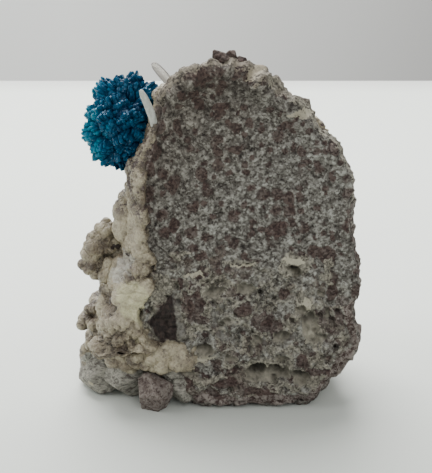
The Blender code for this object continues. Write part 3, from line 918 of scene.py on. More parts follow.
def stain_share(paint):
    """1 at the upper left of the face, where iron has stained the rock, fading down and right."""
    across, up = (1.0 / (fall * MM) for fall in STAIN_FALLS_MM)
    cloud = paint.noise(5.0, 4.0, 0.6)
    return paint.edge(paint.sum((paint.axis("X"), -across), (paint.axis("Z"), up), (cloud, 1.2)), 1.85, 2.75)


def spots(paint):
    """The dark, cream and crystal places, then the wedge, the needle and the stain, in that order."""
    paint.lay(paint.brown, paint.patch("dark", 0.42, 0.60), 0.85)
    paint.lay(paint.cream, paint.patch("cream", 0.42, 0.75, 2.0), 0.82)
    paint.lay(CRYSTAL_PALE, paint.patch("crystal", 0.45, 0.80, 2.0), 0.85)
    wedge = paint.mix(paint.edge(paint.cloud, 0.45, 0.70), WEDGE_DARK, WEDGE_BROWN)
    paint.lay(wedge, paint.mark("wedge"), 0.95)
    paint.lay(GRAIN_PALE, paint.mark("needle"), paint.edge(paint.cloud, 0.35, 0.60), 0.8)
    paint.lay(BROWN_STAIN, stain_share(paint), 0.45, blend="MULTIPLY")


def hollows(paint):
    """Cream linings where the mesh goes in, painted shade where it is deep, and fibres at the foot."""
    lining = paint.ramp(paint.noise(1.1, 4.0, 0.6), (0.30, JOINT_CREAM), (0.65, LINING_CREAM))
    paint.lay(lining, paint.patch("hollow", 0.12, 0.45, 0.4), 0.85)
    # painted shade: near black deep in the vugs and pits
    paint.lay(HOLLOW_PAINTED_SHADE, paint.mark("shade"), 0.92)
    streaks = paint.noise(0.8, 4.0, 0.7, stretch=(0.35, 1, 1), twist=1.5)
    fibres = paint.ramp(paint.sum(streaks, (paint.cloud, 0.5), -0.25),
                        (0.30, PURPLE_BROWN), (0.38, GRAIN_MID), (0.58, FIBROUS_WHITE))
    paint.lay(fibres, paint.patch("fibrous", 0.35, 0.65))


# %% The outside, and the whole finish
def outside(paint):
    """Brown rind in clouds wherever the mesh isn't its face, and the colour of the large clasts."""
    rind = paint.ramp(paint.sum((paint.tone, 0.9), 0.05),
                      (0.15, DARK_MAROON), (0.45, RIND_BROWN), (0.80, CLAST_PALE))
    off_face = paint.edge(paint.sum(paint.mark("face"), (paint.cloud, 0.3)), 0.70, 0.50)
    clouds = paint.edge(paint.sum(paint.cloud, (paint.low, 0.25)), 0.42, 0.62)
    paint.lay(rind, off_face, clouds)
    stone = paint.ramp(paint.sum((paint.cloud, 1.2), (paint.grain, 0.3), -0.25),
                       (0.20, DARK_MAROON), (0.40, CLAST_MID), (0.72, CLAST_PALE))
    paint.lay(stone, paint.mark("clast"))


def rock_finish():
    """All the layers in turn, on matt stone whose shading relief follows the tone of the grains."""
    paint = Finish("basalt_breccia")
    for layer in (grains, small_stones, stones_and_veins, spots, hollows, outside):
        layer(paint)
    height = paint.sum((paint.tone, 0.6), (paint.noise(0.35, 3.0, 0.65), 0.6))
    paint.set(Base_Color=paint.colour, Roughness=0.86, Specular_IOR_Level=0.35)
    paint.set(Normal=paint.bump(height, 0.26))
    return paint.material


stone_finish = rock_finish()
print("the rock's finish has", len(stone_finish.node_tree.nodes), "nodes")

# %% Build the block
block_directions, block_quads = cube_sphere(BLOCK_CELLS)
block_points, block_marks = block_relief(block_directions)
put("matrix_rock", block_points, block_quads, stone_finish, "basalt_matrix", block_marks)
for piece_name, stones, seed, mark_name in (
        ("matrix_clasts", CLASTS, 19, "clast"), ("matrix_foot", FOOT_STONES, 33, "fibrous"),
        ("matrix_chips", TOP_CHIPS, 35, "dark")):
    stone_points, stone_quads = angular_stones(stones, seed)
    all_ones = np.ones(len(stone_points))
    put(piece_name, stone_points, stone_quads, stone_finish, "basalt_matrix",
        {mark_name: all_ones, "face": all_ones})

# %% [markdown]
# The crust
#
# The crust is a patch over the block, from the top right, over the whole left side, to the lower
# front. It could be sculpted, but a real one has a rule: crystals grew outwards as little balls
# until they met. So each lump is a sphere sunk in the rock, and the crust reaches along the
# block's normal to where the furthest sphere ends. Smaller domes then cover the lumps, and a
# sugary grain covers the domes. At the patch's edge the crust dives into the rock, so that its
# rim wanders as a broken rim does. A cone to the middle of the block closes the body out of sight.

# %% Driving dimensions of the crust: rows of (angle round Y, front and back angle away from -Y)
CRUST_EDGES = [
    (40, 87, 97), (60, 84, 108), (80, 83, 116), (100, 82, 126), (125, 79, 138), (150, 77, 146),
    (175, 75, 150), (200, 66, 148), (214, 62, 140), (226, 52, 124), (236, 49, 84), (250, 52, 68),
]
CRUST_CELLS = (540, 175)
CRUST_THICKNESS = 1.1
CRUST_SUNK = 2.4
CRUST_SEED = 11
CRUST_LUMPS = 190
CRUST_UNDERSIDE = 0.4
PATCH_LENGTH = 85.0
PATCH_WIDTH = 28.0
print("the crust's grid has", CRUST_CELLS[0], "by", CRUST_CELLS[1], "cells")

# %% Where the crust ends, as (row of CRUST_EDGES, value)
EDGE_SLOPE = 2.0
EDGE_TEAR = 1.9
BACK_MARGIN = 2.0
BACK_TEAR = 2.2
CRUST_TONGUES = 0.13
LOW_GAP_HEIGHT = 9.2
CRUST_TRIM = [
    (0, 0.70), (1, 0.48), (2, 0.34), (3, 0.22), (4, 0.06), (5, 0.02), (6, 0.0), (7, 0.0),
    (8, 0.0), (9, 0.04), (10, 0.10), (11, 0.30),
]
CRUST_SHRINK = [(0, 0.3), (3, 0.35), (4, 0.7), (5, 1.0), (11, 1.0)]

# %% Lobes, and places that differ: (x, y, z, radius) in millimetres
LOBES = [
    (-19.8, -8.4, 28.4, 1.9), (-20.6, -9.2, 26.6, 2.2), (-21.5, -8.4, 24.7, 2.2), (-22.3, -9.2, 23.2, 1.9),
    (-18.0, -9.0, 26.2, 1.7), (-19.4, -9.2, 22.0, 2.5), (-17.8, -9.8, 19.8, 2.5), (-18.4, -9.6, 17.4, 2.5),
    (-15.6, -11.4, 33.0, 2.6), (-15.4, -11.8, 30.2, 2.9),
    (-22.6, -8.6, 12.6, 2.1), (-21.4, -9.0, 14.8, 2.0), (-20.2, -10.0, 12.6, 2.6), (-20.0, -10.8, 9.4, 2.8),
    (-17.6, -12.0, 12.6, 2.6), (-21.4, -9.0, 6.4, 2.8), (-20.4, -10.0, 3.8, 3.0), (-22.4, -6.5, 3.2, 2.6),
    (-13.6, -16.2, 9.2, 2.4), (-10.2, -16.6, 9.8, 2.9), (-6.6, -16.9, 9.2, 2.8), (-16.6, -14.4, 8.4, 2.8),
    (-12.6, -15.2, 20.8, 3.0), (-14.0, -15.4, 13.2, 2.6),
    (-17.4, -2.6, 24.2, 3.1), (-18.2, 2.4, 17.0, 3.4), (-19.9, -2.4, 12.4, 3.4), (-18.6, 5.0, 9.4, 3.5),
    (-14.8, -3.6, 32.0, 2.7), (-15.6, 4.6, 26.0, 3.1), (-20.4, 0.0, 6.0, 3.4),
    (-12.2, -13.0, 43.2, 2.0), (-14.0, -10.8, 39.8, 1.8), (-9.0, -12.4, 52.6, 2.0),
]
SMOOTH_PLACES = [
    (-15.6, -12.0, 33.2, 3.8), (-15.6, -12.2, 30.0, 3.9), (-15.4, -15.0, 32.4, 3.8),
    (-14.0, -19.2, 19.6, 3.8), (-10.0, -17.2, 9.6, 3.0),
]
MARKED_PLACES = {
    "shaded_slit": [
        (-18.3, -10.9, 26.7, 0.8), (-17.4, -10.8, 26.5, 0.9), (-16.6, -11.6, 26.5, 0.9),
        (-15.5, -15.2, 27.0, 0.7),
    ],
    "yellow": [(-14.8, -19.2, 20.4, 3.0), (-12.8, -18.9, 18.4, 2.6), (-13.2, -18.0, 12.0, 1.4)],
    "white": [(-16.0, -15.6, 24.6, 3.0), (-17.2, -13.0, 21.8, 2.0), (-18.2, -12.0, 9.4, 2.0)],
    "stony": [(-20.6, -10.0, 5.0, 3.6), (-22.4, -7.6, 2.8, 3.4), (-17.8, -11.5, 4.6, 3.0)],
    "rocky": [(-19.4, -11.0, 4.6, 3.6), (-15.2, -17.0, 24.0, 2.2), (-17.0, -14.0, 11.4, 1.4)],
}
print(len(LOBES), "lobes stand off the crust")


# %% Directions and lumps of the crust
def along_patch(u, table):
    """The value at u, which runs from 0 to 1 along the rows of CRUST_EDGES, read from a table."""
    return np.interp(u * (len(CRUST_EDGES) - 1), *np.array(table, float).T)


def crust_directions(u, v):
    """The direction at a place of the patch: u runs along it and v from front to back, 0 to 1."""
    angle, front, back = (along_patch(u, list(enumerate(column))) for column in zip(*CRUST_EDGES))
    phi, psi = np.radians(angle), np.radians(front + v * (back - front))
    return np.stack([np.sin(psi) * np.cos(phi), -np.cos(psi), np.sin(psi) * np.sin(phi)], axis=-1)


def crust_lumps():
    """Lumps scattered over the patch, sunk a little into the block and bigger low down."""
    rng = np.random.default_rng(CRUST_SEED)
    u, v, size = rng.uniform(0.03, 0.97, (3, CRUST_LUMPS))
    d = crust_directions(u, v)
    centres = block_point(d) - 0.6 * normals_of(block_point, d)
    low = np.clip((28 - centres[:, 2]) / 20, 0, 1)
    return np.column_stack([centres, 1.7 + 0.9 * size + 0.8 * low])


def sugar(points):
    """Height of the domes and grain that cover the crust, and how deep each point lies in a crease.

    Low down the domes are big and deep. High up they are small, and the grain on them coarser. The
    smooth places keep a quarter of the big domes and about a third of the middle ones, and the slit
    goes in. The crease is 1 less the domes, by their shares, and the finish paints shade by it.
    """
    high = step_up(points[..., 2] + 2 * noise(points, 4.0, 7), 30, 38)
    smooth = ball_mark(points, SMOOTH_PLACES)
    big = domes(points + 0.5 * swells(points[..., ::-1], 3.0, 5)[..., None], 3.3, 101)
    middle = domes(points, 1.35, 111)
    grain = domes(points, 0.72, 121)
    height = (1.15 - 0.6 * high) * (1 - 0.75 * smooth) * (big - 0.7)
    height = height + (0.42 + 0.2 * high) * (1 - 0.7 * smooth) * (middle - 0.6)
    height = height + (0.16 + 0.18 * high) * grain + 0.05 * swells(points, 0.4, 131)
    height = height - 1.2 * ball_mark(points, MARKED_PLACES["shaded_slit"])
    crease_shade = 1 - (0.50 * big + 0.30 * middle + 0.20 * grain) * (1 - 0.5 * smooth) - 0.45 * smooth
    return height, crease_shade


# %% Where the patch ends
def above_gap(base):
    """Distance above the line, near the foot of the left front, under which bare rock shows."""
    behind = 40 * step_up(base[..., 1], -7, -2)
    return base[..., 2] - LOW_GAP_HEIGHT - 1.3 * swells(base, 3.0, 151) + behind


def inside_edge(u, v, points, base):
    """How far each point lies inside the crust's edge, in millimetres.

    It is the least of the distances from the grid's border, from a front edge and a back edge
    that noise tears, and from the gap low at the left.
    """
    torn = EDGE_TEAR * swells(points, 4.2, 141, *TORN) + 0.5
    back = (1 - v) * PATCH_WIDTH
    return np.minimum.reduce([
        np.minimum(u, 1 - u) * PATCH_LENGTH,
        (v + CRUST_TONGUES) * PATCH_WIDTH,
        (v - along_patch(u, CRUST_TRIM)) * PATCH_WIDTH + torn,
        back,
        back - BACK_MARGIN + BACK_TEAR * swells(points, 5.0, 145, *TORN),
        above_gap(base),
    ])


# %% The patch as a grid
def patch_normals(points, outward):
    """Normals of a grid of points, on the outward side: the cross product of its two directions."""
    across = unit(np.cross(np.gradient(points, axis=0), np.gradient(points, axis=1)))
    return across * np.sign((across * outward).sum(-1, keepdims=True))


def crust_shell():
    """The crust's grid: lumps along the block's normals, then domes along the grid's own.

    From under the rock the crust rises with the distance inside its edge, as an S-shaped slope.
    """
    rows, columns = CRUST_CELLS
    along, across = np.linspace(0, 1, rows + 1), np.linspace(-CRUST_TONGUES, 1, columns + 1)
    u, v = np.meshgrid(along, across, indexing="ij")
    d = crust_directions(u, v)
    base, normals = broken(block_point(d)), normals_of(block_point, d)
    lumps = np.maximum(CRUST_THICKNESS, reach_of_spheres(base, normals, crust_lumps()))
    points = base + (lumps * along_patch(u, CRUST_SHRINK))[..., None] * normals
    height, crease_shade = sugar(points)
    points = points + height[..., None] * patch_normals(points, normals)
    edge = inside_edge(u, v, points, base)
    sunk = base - CRUST_SUNK * normals
    points = sunk + step_up(edge, 0, EDGE_SLOPE)[..., None] * (points - sunk)
    # painted shade where the crust dives into the rock at its edge
    crease_shade = np.clip(crease_shade + 0.3 * (1 - step_up(edge, 0, 2.5)), 0, 1)
    return keep_inside(points, CRUST_UNDERSIDE), crease_shade


def close_with_cone(points, middle):
    """The grid's quads, and triangles from its border to a middle point."""
    rows, columns = points.shape[0] - 1, points.shape[1] - 1
    index = np.arange(points.shape[0] * points.shape[1]).reshape(points.shape[:2])
    ring = np.concatenate([index[:-1, 0], index[-1, :-1], index[:0:-1, -1], index[0, :0:-1]])
    flat = np.vstack([points.reshape(-1, 3), [middle]])
    return flat, [grid_faces(rows, columns), fan_faces(ring, np.roll(ring, -1), index.size)]


# %% Lobes that stand off the crust
LOBE_CELLS = 17
KNOB_CELLS = 10
KNOBS = 5
KNOB_SEED = 23
KNOB_SPREAD = 0.95
KNOB_SIZES = (0.40, 0.62)
BARE_LOBES = (8, 9, 31, 32, 33)
LOBE_MIDDLE = (0.0, 0.0, 20.0)


def balls_at(centres, radii, cells, share):
    """One closed ball for each centre, covered with the same domes and grain as the crust."""
    d, quads = cube_sphere(cells)
    points = centres[:, None] + radii[:, None, None] * d[None]
    height, crease_shade = sugar(points)
    points = points + (share * np.clip(height, -0.5, 0.6))[..., None] * d[None]
    points = keep_inside(points, CRUST_UNDERSIDE).reshape(-1, 3)
    return points, repeated(quads, len(centres), len(d)), crease_shade.ravel()


def knobs():
    """Smaller balls set on each lobe that isn't bare, in directions that lean outwards.

    A knob's radius is a share of its lobe's, and the smaller it is the further out it sits.
    """
    rng = np.random.default_rng(KNOB_SEED)
    rough = np.array([lobe for k, lobe in enumerate(LOBES) if k not in BARE_LOBES])
    outward = unit(rough[:, :3] - np.array(LOBE_MIDDLE))
    ways = unit(outward[:, None] + KNOB_SPREAD * rng.normal(size=(len(rough), KNOBS, 3)))
    size = rng.uniform(*KNOB_SIZES, (len(rough), KNOBS))
    centres = rough[:, None, :3] + ways * (rough[:, None, 3:] * (1.05 - 0.45 * size)[..., None])
    radii = rough[:, None, 3] * size
    return centres.reshape(-1, 3), radii.ravel()


# %% The crust's finish
CREAM_DARK = (0.060, 0.044, 0.030)
CREAM_MID = (0.228, 0.194, 0.136)
CREAM_PALE = (0.395, 0.348, 0.246)
CREAM_BROWN = (0.120, 0.085, 0.055)
CREAM_YELLOW = (0.545, 0.515, 0.330)
CREAM_WHITE = (0.470, 0.460, 0.400)
ROCK_IN_CRUST = (0.066, 0.044, 0.038)
SLIT_PAINTED_SHADE = (0.030, 0.019, 0.014)
STONY_GREY = (0.150, 0.145, 0.125)
BRIGHT_LAYERS = (("yellow", CREAM_YELLOW, 0.95), ("white", CREAM_WHITE, 0.75))


def crust_finish():
    """Cream that is darker in the creases, with brown clouds, and marked places laid over it.

    The yellow and white places have rays of stretched noise, and are brown between the rays. The creases,
    darker everywhere and browner in those places, and the near-black slit are painted shade.
    """
    paint = Finish("cream_zeolite")
    crease_shade, grain = paint.mark("crease_shade"), paint.numbers(0.28)
    # the crease mark darkens the cream: painted shade
    tone = paint.sum((crease_shade, -1.05), (paint.noise(3.5, 4.0, 0.6), 0.80), (grain, 0.42), 0.34)
    paint.colour = paint.ramp(tone, (0.05, CREAM_DARK), (0.42, CREAM_MID), (0.85, CREAM_PALE))
    paint.torn = paint.sum((paint.noise(1.4, 4.0, 0.65), 0.9), -0.45)
    paint.lay(CREAM_BROWN, paint.edge(paint.noise(5.0, 3.0), 0.52, 0.68), 0.55)
    rays = paint.noise(1.3, 4.0, 0.7, stretch=(0.45, 1, 1.5), twist=0.6)
    # brown between the rays, and in the creases as painted shade
    between_rays_and_shade = paint.sum((crease_shade, 0.55), (rays, 2.0), -0.98)
    for mark_name, tint, share in BRIGHT_LAYERS:
        paint.lay(paint.mix(between_rays_and_shade, tint, CREAM_BROWN), paint.patch(mark_name, 0.30, 0.75), share)
    rock = paint.edge(paint.sum(paint.noise(2.6, 5.0, 0.65), (grain, 0.15)), 0.58, 0.66)
    paint.lay(ROCK_IN_CRUST, rock, paint.mark("rocky"))
    # the crease mark darkens the stony streaks a little: painted shade
    streaks = paint.sum(paint.noise(0.9, 5.0, 0.7, stretch=(1, 1, 0.5), twist=1.0), (crease_shade, -0.15))
    stony = paint.ramp(streaks, (0.31, ROCK_IN_CRUST), (0.37, STONY_GREY), (0.53, CREAM_WHITE))
    paint.lay(stony, paint.patch("stony", 0.35, 0.65))
    # the slit is painted near black: painted shade in the gap
    paint.lay(SLIT_PAINTED_SHADE, paint.patch("shaded_slit", 0.45, 0.65))
    height = paint.sum((paint.cells(0.42), -0.8), (paint.noise(0.22, 2.0), 0.5))
    paint.set(Base_Color=paint.colour, Roughness=0.46, Normal=paint.bump(height, 0.24))
    paint.set(Subsurface_Weight=0.10, Subsurface_Radius=(1.0, 0.8, 0.5), Subsurface_Scale=0.5 * MM)
    return paint.material


def crust_marks(points, crease_shade):
    """The marks that the crust's finish reads. High up the whole crust is rocky."""
    marks = {name: ball_mark(points, places) for name, places in MARKED_PLACES.items()}
    marks["rocky"] = np.maximum(0.9 * step_up(points[:, 2], 31, 35) + 0.15, marks["rocky"])
    return {"crease_shade": crease_shade, **marks}


# %% Build the crust
cream_finish = crust_finish()
shell, shell_crease_shade = crust_shell()
shell_points, shell_faces = close_with_cone(shell, (SECTION_CENTRE[0], 0.0, SECTION_CENTRE[1]))
put("crust_shell", shell_points, shell_faces, cream_finish, "zeolite_crust",
    crust_marks(shell_points, np.append(shell_crease_shade.ravel(), 0.5)))
lobe_table = np.array(LOBES)
for piece_name, centres, radii, cells, share in (
        ("crust_lobes", lobe_table[:, :3], lobe_table[:, 3], LOBE_CELLS, 0.7),
        ("crust_knobs", *knobs(), KNOB_CELLS, 0.35)):
    lobe_points, lobe_quads, lobe_crease_shade = balls_at(centres, radii, cells, share)
    put(piece_name, lobe_points, lobe_quads, cream_finish, "zeolite_crust",
        crust_marks(lobe_points, lobe_crease_shade))

# %% [markdown]
# The rosette
#
# Cavansite grows as flat blades that radiate from one point. Blades that start together stay
# side by side, so the ball's surface is made of little stacks whose ends stand at different
# heights, and the outline looks stepped. One blade is a flat lath with a stepped end and bevelled
# edges, of only thirty-two points. A frame of three directions places each copy, and all of them
# are worked out in one product of arrays. How far the ends reach depends on the sprays, which are
# placed to give the ball the outline that the photograph shows.

# %% Driving dimensions of the rosette
ROSETTE_CENTRE = np.array([-15.0, -6.5, 47.0])
SPRAYS = [
    ((-0.68, -0.20, 0.70), 9.5), ((0.00, -0.15, 1.00), 9.0), ((0.57, -0.10, 0.82), 8.4),
    ((-0.95, -0.10, -0.33), 9.1), ((-1.00, -0.10, 0.20), 7.5), ((-0.35, -0.15, 0.93), 8.5),
    ((-0.75, -0.15, -0.65), 9.2), ((-0.30, -0.20, -0.95), 9.0), ((-0.20, -1.00, 0.20), 8.3),
    ((-0.60, -0.75, -0.30), 8.4), ((0.15, -0.80, -0.50), 8.0), ((-0.55, -0.70, 0.45), 8.4),
    ((0.25, -0.80, 0.60), 8.2), ((-0.62, 0.75, 0.30), 8.3), ((-0.55, 0.75, -0.35), 8.3),
    ((0.00, 0.65, 0.80), 8.2), ((-0.15, 0.60, -0.80), 8.2), ((0.15, 0.95, 0.05), 8.0),
    ((-0.90, 0.40, 0.00), 8.4), ((0.75, 0.20, -0.20), 7.4),
]
BUNDLES = 46
STACKS = 220
BLADES_IN_STACK = 6
STACK_PITCH = 0.56
LATH_WIDTH = (1.3, 2.3)
LATH_THICKNESS = (0.40, 0.70)
LATH_ROOT = 3.6
LATH_BEVEL = (0.82, 0.94)
REACH_FALL = 0.35
BUNDLE_FALL = 1.7
CORE_SHARE = 0.84
CORE_CELLS = 48
CORE_MARK = 0.3
ROSETTE_SEED = 8
STEPPED_END = [
    (-0.50, 0.0), (-0.50, 0.76), (-0.36, 0.83), (-0.28, 0.92), (-0.06, 1.0),
    (0.14, 0.95), (0.22, 0.88), (0.44, 0.82), (0.50, 0.72), (0.50, 0.0),
]
print("the rosette has", STACKS * BLADES_IN_STACK, "laths in", BUNDLES, "bundles")


# %% One lath
def lath_template():
    """A lath's points as (across, through, along) and its faces as triangles.

    The stepped outline is repeated at the middle, full size, and at both flat sides, drawn in
    towards a point in its middle, which gives bevelled edges.
    """
    outline = np.array(STEPPED_END)
    middle = np.array([0.0, 0.5])
    drawn_in = middle + (outline - middle) * LATH_BEVEL
    rings = [np.column_stack([ring[:, 0], np.full(len(ring), level), ring[:, 1]])
             for ring, level in ((drawn_in, -0.5), (outline, 0.0), (drawn_in, 0.5))]
    centres = np.array([[0.0, -0.5, 0.5], [0.0, 0.5, 0.5]])
    n = len(outline)
    k = np.arange(n)
    after = (k + 1) % n
    faces = [fan_faces(after, k, 3 * n), fan_faces(2 * n + k, 2 * n + after, 3 * n + 1)]
    for low, high in ((0, n), (n, 2 * n)):
        faces.append(np.stack([low + k, low + after, high + after], -1))
        faces.append(np.stack([low + k, high + after, high + k], -1))
    return np.vstack([*rings, centres]), np.concatenate(faces)


def copies(template, faces, roots, frames, sizes):
    """Copies of a template: its points times each copy's sizes, times its frame, plus its root."""
    points = roots[:, None] + np.einsum("nmk,nkc->nmc", template[None] * sizes[:, None], frames)
    return points.reshape(-1, 3), repeated(faces, len(roots), len(template))


# %% How far the laths reach
BUNDLE_WAYS = unit(even_directions(BUNDLES)
                   + 0.10 * np.random.default_rng(ROSETTE_SEED).normal(size=(BUNDLES, 3)))


def reach_in(d):
    """How far the blades reach: the furthest spray's reach, which falls with the square of the
    angle from it, and falls faster with the angle from the middle of the nearest bundle."""
    directions = unit(np.array([spray[0] for spray in SPRAYS]))
    reach = np.array([spray[1] for spray in SPRAYS])
    angle = np.arccos(np.clip(d @ directions.T, -1, 1))
    off_bundle = np.arccos(np.clip((d @ BUNDLE_WAYS.T).max(-1), -1, 1))
    return (reach * (1 - REACH_FALL * angle ** 2)).max(-1) * (1.05 - BUNDLE_FALL * off_bundle ** 2)


# %% All the laths of the ball
def stack_frames(rng):
    """Each stack's axis, the way its bundle points, its side direction and the one through it."""
    axis = unit(even_directions(STACKS) + 0.05 * rng.normal(size=(STACKS, 3)))
    bundle = (axis @ BUNDLE_WAYS.T).argmax(-1)
    lean = rng.normal(size=(BUNDLES, 3))[bundle] + 0.20 * rng.normal(size=(STACKS, 3))
    side = unit(np.cross(axis, lean))
    return axis, BUNDLE_WAYS[bundle], side, np.cross(axis, side)


def rosette():
    """The points, faces and two marks of all the laths.

    A stack is a fan of laths side by side. The stacks of one bundle lean towards its middle and
    lie the same way, turned a little. Each lath's end stands at its own height in the fan.
    """
    rng = np.random.default_rng(ROSETTE_SEED + 1)
    each_lath = (STACKS, BLADES_IN_STACK)
    stack_axis, bundle_way, side, through = stack_frames(rng)
    place = np.arange(BLADES_IN_STACK) - (BLADES_IN_STACK - 1) / 2
    place = place[None, :, None] + 0.25 * rng.normal(size=(*each_lath, 1))
    stack_way = 0.75 * stack_axis + 0.25 * bundle_way
    spread = 0.055 * place * through[:, None] + 0.022 * rng.normal(size=(*each_lath, 3))
    axis = unit(stack_way[:, None] + spread)
    reach = reach_in(axis) * rng.uniform(0.95, 1.02, (STACKS, 1))
    reach = reach * (1 - 0.010 * place[..., 0] ** 2) * rng.uniform(0.93, 1.0, each_lath)
    root = ROSETTE_CENTRE + LATH_ROOT * stack_axis[:, None] + 0.4 * STACK_PITCH * place * through[:, None]
    across = unit(side[:, None] - (side[:, None] * axis).sum(-1, keepdims=True) * axis)
    frames = np.stack([across, np.cross(axis, across), axis], -2).reshape(-1, 3, 3)
    count = STACKS * BLADES_IN_STACK
    frames[:, :2] *= np.where(rng.uniform(size=count) < 0.5, -1.0, 1.0)[:, None, None]
    sizes = np.column_stack([rng.uniform(*LATH_WIDTH, count), rng.uniform(*LATH_THICKNESS, count),
                             (reach - LATH_ROOT).ravel()])
    template, faces = lath_template()
    points, all_faces = copies(template, faces, root.reshape(-1, 3), frames, sizes)
    tone = 0.55 * np.repeat(rng.uniform(0, 1, STACKS), BLADES_IN_STACK) + rng.uniform(0, 0.45, count)
    return keep_inside(points), all_faces, np.tile(template[:, 2], count), np.repeat(tone, len(template))


# %% The blue finish
BLUE_DEEP = (0.0003, 0.020, 0.060)
BLUE_MID = (0.0008, 0.078, 0.165)
BLUE_TEAL = (0.0012, 0.290, 0.395)


def blue_finish():
    """Deep blue that turns teal towards a lath's end and at the left, on glassy facets.

    The tone is the fifth power of the place along the lath, the lath's own number, a cloud and
    the mark for the left, each times its share. The teal at the ends is painted light through the
    thin ends, and the teal at the left is painted light on that side of the ball.
    """
    paint = Finish("cavansite_blue")
    # teal towards a lath's end and at the left of the ball: painted light
    to_end = paint.join("Math", "POWER", paint.mark("along"), 5.0)
    tone = paint.sum((to_end, 0.30), (paint.mark("tone"), 0.30), (paint.noise(2.5, 3.0), 0.45),
                     (paint.mark("left"), 0.36), -0.30)
    paint.set(Base_Color=paint.ramp(tone, (0.05, BLUE_DEEP), (0.45, BLUE_MID), (0.90, BLUE_TEAL)))
    paint.set(Roughness=0.30, IOR=1.5, Transmission_Weight=0.25)
    paint.set(Specular_IOR_Level=0.18, Specular_Tint=(0.45, 0.80, 1.0))
    facets = paint.sum((paint.numbers(0.35), 0.7), (paint.noise(0.25, 2.0), 0.5))
    paint.set(Normal=paint.bump(facets, 0.045, 0.9))
    return paint.material


# %% Build the rosette
LEFT_OF_CENTRE = 3.0
blade_points, blade_faces, blade_along, blade_tone = rosette()
core_d, core_quads = cube_sphere(CORE_CELLS)
core_reach = CORE_SHARE * reach_in(core_d) + 0.4 * (domes(core_d * 8, 1.0, 161) - 0.6)
core_points = ROSETTE_CENTRE + core_reach[:, None] * core_d
core_marks = np.full(len(core_points), CORE_MARK)
ball_points = np.vstack([blade_points, core_points])
# the left mark paints light on the ball's left side
to_left = ROSETTE_CENTRE[0] - LEFT_OF_CENTRE - ball_points[:, 0]
ball = put("rosette_blades", ball_points, [blade_faces, core_quads + len(blade_points)], blue_finish(),
           "cavansite_rosette",
           {"along": np.append(blade_along, core_marks), "tone": np.append(blade_tone, core_marks),
            "left": step_up(to_left, -1, 4.5)})
ball.data.shade_flat()

# %% [markdown]
# The two pale blades
#
# Stilbite grows as thin laths with a blunt end. A lath here is a flattened oval profile carried
# along a slightly bent path, widest at the foot and drawn in near the tip, and closed by shallow
# cones. The one in front is milky. The one at the top is nearly clear: it is given transmission
# and an index of refraction of 1.5 under a pale grey.

# %% A lath along a path: (foot, tip, width, thickness, bow) in millimetres
STILBITES = {
    "stilbite_blade_front": ((-10.2, -14.2, 45.2), (-12.8, -16.9, 54.3), 1.48, 0.9, 0.45),
    "stilbite_blade_top": ((-7.6, -8.0, 52.8), (-11.3, -8.2, 57.3), 1.75, 0.85, 0.1),
}
LATH_RINGS = 24
PROFILE_TURN_DEG = 30
BOW_WAY = (0.8, 0.0, 0.2)
BLUNT_FROM = 0.86


def pale_blade(foot, tip, width, thickness, bow):
    """A profile carried along a path that bows by a sine, scaled by how wide the lath is there.

    The profile is an ellipse made a little squarer by a power of 0.8, and a sine ribs it.
    """
    foot, tip = np.array(foot), np.array(tip)
    axis = unit(tip - foot)
    across = unit(np.cross(np.cross(axis, [1.0, 0.0, 0.35]), axis))
    through = np.cross(axis, across)
    s = np.linspace(0, 1, LATH_RINGS)[:, None]
    turn = np.radians(np.arange(0, 360, PROFILE_TURN_DEG))[None]
    flat = np.abs(np.cos(turn)) ** 0.8 * np.sign(np.cos(turn))
    blunt = np.clip((s - BLUNT_FROM) / (1 - BLUNT_FROM), 0, 1) ** 2
    size = 1.05 - 0.30 * s - 0.30 * blunt + 0.05 * np.sin(9 * s + 2)
    ribbed = np.sin(turn) * (1 + 0.05 * np.sin(turn * 4 + 6 * s))
    path = foot + s * (tip - foot) + bow * np.sin(s * math.pi) * np.array(BOW_WAY)
    points = (path[:, None] + (0.5 * width * size * flat)[..., None] * across
              + (0.5 * thickness * size * ribbed)[..., None] * through)
    count = turn.shape[1]
    last = LATH_RINGS * count
    ring = np.arange(last).reshape(LATH_RINGS, count)
    after = np.roll(ring, -1, axis=1)
    quads = np.stack([ring[:-1], after[:-1], after[1:], ring[1:]], -1).reshape(-1, 4)
    caps = np.vstack([fan_faces(after[0], ring[0], last), fan_faces(ring[-1], after[-1], last + 1)])
    ends = np.vstack([path[0] - 0.05 * axis, path[-1] + 0.12 * axis])
    return np.vstack([points.reshape(-1, 3), ends]), [quads, caps]


# %% Finishes of the pale blades
MILKY_DARK = (0.36, 0.37, 0.33)
MILKY_PALE = (0.62, 0.63, 0.58)
CLEAR_GREY = (0.62, 0.59, 0.55)


def milky_finish():
    """Milky white in streaks along the blade, with light scattered a little under its surface."""
    paint = Finish("white_stilbite")
    streaks = paint.noise(0.35, 3.0, 0.6, stretch=(1, 1, 0.15))
    paint.set(Base_Color=paint.ramp(streaks, (0.3, MILKY_DARK), (0.7, MILKY_PALE)))
    paint.set(Roughness=0.30, IOR=1.5, Transmission_Weight=0.15, Normal=paint.bump(streaks, 0.05, 0.7))
    paint.set(Subsurface_Weight=0.3, Subsurface_Radius=(1.0, 1.0, 0.9), Subsurface_Scale=0.6 * MM)
    return paint.material


def clear_finish():
    """Pale grey that lets more than half of the light through, over fine streaks in relief."""
    paint = Finish("clear_stilbite")
    streaks = paint.noise(0.4, 3.0, 0.6, stretch=(1, 1, 0.2))
    paint.set(Base_Color=CLEAR_GREY, Roughness=0.30, IOR=1.5, Transmission_Weight=0.60)
    paint.set(Normal=paint.bump(streaks, 0.05, 0.6))
    return paint.material


# %% Build the pale blades
PALE_FINISHES = {
    "stilbite_blade_front": (milky_finish(), "white_stilbite"),
    "stilbite_blade_top": (clear_finish(), "clear_stilbite"),
}
for node_name, sizes in STILBITES.items():
    finish, slot_name = PALE_FINISHES[node_name]
    lath_points, lath_faces = pale_blade(*sizes)
    put(node_name.replace("blade", "lath"), lath_points, lath_faces, finish, node_name)
